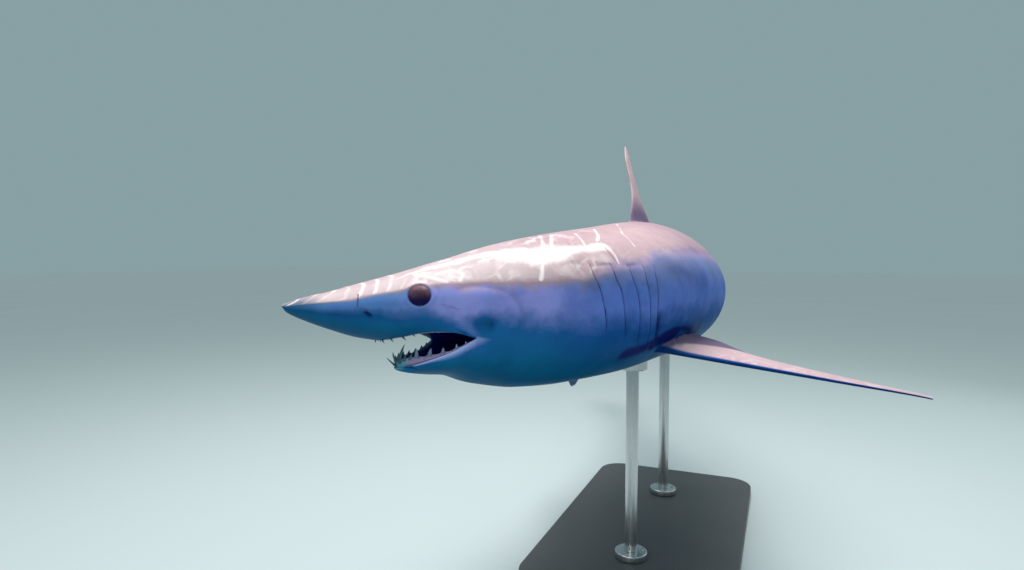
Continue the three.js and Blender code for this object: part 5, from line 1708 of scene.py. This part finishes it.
def supports(settings, skin):
    steel = steel_material(settings)
    tree = BVHTree.FromObject(skin, bpy.context.evaluated_depsgraph_get())
    for name in ("front", "rear"):
        node = f"stand_collar_{name}"
        collar = turned_like(node, settings.edge_round, 72)
        socket_screws(collar, *middle_of(node), settings.screw_radius)
        sharpen(collar, EDGE_CREASE)
        new_piece(f"collar_{name}", collar, steel, [node])

        node = f"stand_rod_{name}"
        rod = turned_like(node, 0.8 * MM, 64, (-0.3 * MM, 0.2 * MM))
        sharpen(rod, EDGE_CREASE)
        new_piece(f"rod_{name}", rod, steel, [node])

        node = f"stand_cup_{name}"
        cup = bmesh.new()
        belly_cup(cup, *middle_of(node), tree, settings.cup_clearance)
        sharpen(cup, EDGE_CREASE)
        new_piece(f"cup_{name}", cup, steel, [node])


# ---- Stage ----
CAMERA_FROM_PIVOT = (-0.1331, -1.2099, 0.0790)  # to the right of, ahead of and above the gills
CAMERA_TURN, CAMERA_DOWN = 22.96, 3.0
SENSOR_WIDTH = 36.0  # millimetres
# Name, place to the right of, behind and above the gills as the camera sees them, width and
# length, and the setting that holds its colour
LIGHTS = (
    ("key", (-0.35, 0.15, 2.3), (2.0, 2.0), "key_colour"),
    ("glint", (0.318, 0.592, 1.543), (0.6, 0.5), "key_colour"),
    ("fill", (-1.2, -2.2, 1.1), (1.6, 1.0), "fill_colour"),
    ("side", (2.2, 1.2, 0.9), (1.2, 1.6), "fill_colour"),
)


def look_from(location, target):
    way = Vector(target) - Vector(location)
    return way.to_track_quat("-Z", "Y").to_matrix().to_4x4()


def area_light(name, location, target, size, power, colour):
    lamp = bpy.data.lights.new(name, "AREA")
    lamp.shape = "RECTANGLE"
    lamp.size, lamp.size_y = size
    lamp.energy = power
    lamp.color = colour
    light = bpy.data.objects.new(name, lamp)
    bpy.context.scene.collection.objects.link(light)
    light.matrix_world = Matrix.Translation(location) @ look_from(location, target)


def studio(settings):
    bm = bmesh.new()
    bmesh.ops.create_grid(bm, x_segments=1, y_segments=1, size=settings.floor_size / 2)
    mesh = bpy.data.meshes.new("studio_floor")
    bm.to_mesh(mesh)
    bm.free()
    floor = bpy.data.objects.new("studio_floor", mesh)
    bpy.context.scene.collection.objects.link(floor)
    mesh.materials.append(floor_material(settings))

    pivot = Vector(to_row(np.zeros(3)))
    turn = Matrix.Rotation(math.radians(CAMERA_TURN), 4, "Z")
    camera_data = bpy.data.cameras.new("camera")
    camera_data.sensor_width = SENSOR_WIDTH
    camera_data.lens = settings.lens / MM
    camera = bpy.data.objects.new("camera", camera_data)
    bpy.context.scene.collection.objects.link(camera)
    location = pivot + turn @ Vector(CAMERA_FROM_PIVOT)
    tilt = Matrix.Rotation(math.radians(90 - CAMERA_DOWN), 4, "X")
    camera.matrix_world = Matrix.Translation(location) @ turn @ tilt
    bpy.context.scene.camera = camera

    for name, place, size, paint in LIGHTS:
        power, colour = getattr(settings, f"{name}_power"), getattr(settings, paint)
        area_light(f"{name}_light", pivot + turn @ Vector(place), pivot, size, power, colour)

    daylight = bpy.data.lights.new("even_light", "SUN")
    daylight.energy = settings.even_power
    daylight.angle = math.radians(60)
    daylight.color = settings.key_colour
    even = bpy.data.objects.new("even_light", daylight)
    bpy.context.scene.collection.objects.link(even)

    world = bpy.data.worlds.new("studio_air")
    bpy.context.scene.world = world
    world.use_nodes = True
    background = world.node_tree.nodes["Background"]
    background.inputs["Color"].default_value = rgba(settings.air_colour)
    background.inputs["Strength"].default_value = settings.air_strength
    bpy.context.scene.view_settings.view_transform = "Standard"


# ---- Settings ----
def colour_setting(name, description, default):
    return FloatVectorProperty(
        name=name, description=description, subtype="COLOR", size=3, min=0, max=1, default=default
    )


def length_setting(name, description, default):
    return FloatProperty(
        name=name, description=description, subtype="DISTANCE", unit="LENGTH", min=0, default=default
    )


def power_setting(name, description, default):
    return FloatProperty(name=name, description=description, unit="POWER", min=0, default=default)


def number_setting(name, description, default, low=0, high=10):
    return FloatProperty(name=name, description=description, min=low, max=high, default=default)


class SkinSettings(bpy.types.PropertyGroup):
    back_colour: colour_setting("Back", "Dusky rose-grey of the back", (0.60, 0.475, 0.490))
    edge_colour: colour_setting("Edge", "Brown-pink edge of the back", (0.40, 0.27, 0.31))
    flank_colour: colour_setting("Flank", "Violet-blue of the upper flank", (0.31, 0.32, 0.735))
    middle_colour: colour_setting("Middle flank", "Blue of the flank's middle", (0.014, 0.135, 0.380))
    # the deep blues of the lower flank, underside and belly are partly painted shade of the underside and
    # blue underwater light; the living mako is white below
    deep_colour: colour_setting("Lower flank", "Deep blue of the lower flank", (0.003, 0.130, 0.282))
    low_colour: colour_setting("Underside", "Dark sea-blue round the belly", (0.002, 0.082, 0.180))
    belly_colour: colour_setting("Belly", "Grey-blue along the belly's middle", (0.12, 0.24, 0.32))
    mottle_colour: colour_setting("Mottling", "Tint of the darker mottling", (0.72, 0.70, 0.80))
    # the pale of the painted caustic light and glare over the back, and also the healed scar's own pale rim
    caustic_light_and_scar_rim_colour: colour_setting("Ripples", "Pale ripples over the back", (0.90, 0.80, 0.79))
    lilac_colour: colour_setting("Lilac", "Between back and flank behind the gills", (0.34, 0.30, 0.52))
    # the lip fold's pale lilac is a painted highlight
    lip_fold_highlight_colour: colour_setting("Lip fold", "Pale lilac fold of the lower lip", (0.50, 0.56, 0.92))
    front_colour: colour_setting("Jaw's front", "Sea-green of the jaw's bare front", (0.055, 0.30, 0.38))
    scar_colour: colour_setting("Scars", "Scratch and healed cut", (0.14, 0.06, 0.10))
    # the colour of painted shade in creases, slits, hollows and the mouth, and also of the pores
    crease_shade_and_pore_colour: colour_setting("Creases", "Inside of gill slits and creases", (0.001, 0.006, 0.100))
    gum_colour: colour_setting("Gums", "Mauve-pink gums", (0.31, 0.24, 0.37))
    # the throat's dark navy is painted shade deep in the mouth
    throat_shade_colour: colour_setting("Throat", "Dark lining of the mouth", (0.005, 0.008, 0.26))
    grain_per_metre: number_setting("Grain", "Denticle cells in each metre", 900, 100, 3000)


class EyeSettings(bpy.types.PropertyGroup):
    ball_radius: length_setting("Ball radius", "Radius of the eyeball", EYE_BALL)
    cornea: number_setting("Cornea", "Rise of the cornea as a part of the radius", 0.03, 0, 0.2)
    # the upper half's brown is partly the iris and partly a painted sheen from above
    iris_and_sheen_colour: colour_setting("Iris", "Brown of the iris's upper half", (0.150, 0.070, 0.085))
    low_colour: colour_setting("Lower iris", "Blue-black of its lower half", (0.006, 0.004, 0.050))
    pupil_colour: colour_setting("Pupil", "Near-black of the pupil", (0.010, 0.008, 0.010))


class TeethSettings(bpy.types.PropertyGroup):
    # the crowns' and roots' blue-grey is painted shade and blue underwater light; the enamel itself is
    # ivory
    shaded_enamel_colour: colour_setting("Enamel", "Grey-blue ivory of the crowns", (0.17, 0.21, 0.32))
    shaded_root_colour: colour_setting("Root", "Stained base of the crowns", (0.12, 0.15, 0.25))


class StandSettings(bpy.types.PropertyGroup):
    corner_radius: length_setting("Corners", "Radius of the base plate's corners", 60 * MM)
    edge_round: length_setting("Edges", "Rounding of the plate's and collars' edges", 2.5 * MM)
    screw_radius: length_setting("Screws", "Radius of the collars' screws", 3.4 * MM)
    cup_clearance: length_setting("Clearance", "Between a cup and the belly", 0.3 * MM)
    base_colour: colour_setting("Plate", "Charcoal powder coat", (0.055, 0.058, 0.062))
    steel_colour: colour_setting("Steel", "Brushed stainless steel", (0.62, 0.63, 0.64))


class StageSettings(bpy.types.PropertyGroup):
    floor_size: length_setting("Floor", "Width of the floor", 40.0)
    floor_colour: colour_setting("Floor colour", "Plain pale floor", (0.50, 0.57, 0.58))
    lens: length_setting("Lens", "Focal length", 0.022457)
    key_power: power_setting("Key light", "Power of the light above", 58)
    glint_power: power_setting("Glint light", "Power of the small light above", 15)
    fill_power: power_setting("Fill light", "Power of the light ahead", 14)
    side_power: power_setting("Side light", "Power of the far light", 6)
    even_power: number_setting("Even light", "Strength of the wide light above", 0.8)
    key_colour: colour_setting("Key colour", "Colour of the lights above", (1.0, 0.96, 0.93))
    fill_colour: colour_setting("Fill colour", "Colour of the fill and side lights", (0.90, 0.96, 1.0))
    air_colour: colour_setting("Air", "Colour of the studio's walls", (0.56, 0.80, 0.84))
    air_strength: number_setting("Air strength", "Brightness of the walls", 0.44)


# ---- Operators ----
class SHARK_OT_skin(bpy.types.Operator):
    """One skin over the body, head and fins, with the mouth's lining"""

    bl_idname = "shark.skin"
    bl_label = "Skin"

    def execute(self, context):
        shark_skin(context.scene.shark_skin)
        return {"FINISHED"}


class SHARK_OT_eyes(bpy.types.Operator):
    """The teeth of both jaws, with two inner teeth behind the lower front ones"""

    bl_idname = "shark.eyes"
    bl_label = "Eyes"

    def execute(self, context):
        eyeballs(context.scene.shark_eyes)
        return {"FINISHED"}


class SHARK_OT_teeth(bpy.types.Operator):
    """Two rows of teeth in each jaw"""

    bl_idname = "shark.teeth"
    bl_label = "Teeth"

    def execute(self, context):
        teeth(context.scene.shark_teeth)
        return {"FINISHED"}


class SHARK_OT_stand(bpy.types.Operator):
    """The base plate, collars, rods and cups that hold the shark"""

    bl_idname = "shark.stand"
    bl_label = "Stand"

    def execute(self, context):
        base_plate(context.scene.shark_stand)
        supports(context.scene.shark_stand, bpy.data.objects["shark_skin"])
        return {"FINISHED"}


class SHARK_OT_stage(bpy.types.Operator):
    """The floor, lights and camera"""

    bl_idname = "shark.stage"
    bl_label = "Stage"

    def execute(self, context):
        studio(context.scene.shark_stage)
        return {"FINISHED"}


class SHARK_PT_panel(bpy.types.Panel):
    bl_label = "Shark"
    bl_idname = "SHARK_PT_panel"
    bl_space_type = "VIEW_3D"
    bl_region_type = "UI"
    bl_category = "Shark"

    def draw(self, context):
        for name, group in SETTINGS.items():
            box = self.layout.box()
            settings = getattr(context.scene, name)
            for setting in group.__annotations__:
                box.prop(settings, setting)
        for operator in OPERATORS:
            self.layout.operator(operator.bl_idname)


SETTINGS = {
    "shark_skin": SkinSettings,
    "shark_eyes": EyeSettings,
    "shark_teeth": TeethSettings,
    "shark_stand": StandSettings,
    "shark_stage": StageSettings,
}
OPERATORS = (SHARK_OT_skin, SHARK_OT_eyes, SHARK_OT_teeth, SHARK_OT_stand, SHARK_OT_stage)


def register():
    for group in SETTINGS.values():
        bpy.utils.register_class(group)
    for name, group in SETTINGS.items():
        setattr(bpy.types.Scene, name, PointerProperty(type=group))
    for operator in (*OPERATORS, SHARK_PT_panel):
        bpy.utils.register_class(operator)


def unregister():
    for operator in (SHARK_PT_panel, *OPERATORS):
        bpy.utils.unregister_class(operator)
    for name, group in SETTINGS.items():
        delattr(bpy.types.Scene, name)
        bpy.utils.unregister_class(group)


def main():
    register()
    bpy.ops.shark.skin()
    bpy.ops.shark.eyes()
    bpy.ops.shark.teeth()
    bpy.ops.shark.stand()
    bpy.ops.shark.stage()


if __name__ == "__main__":
    main()
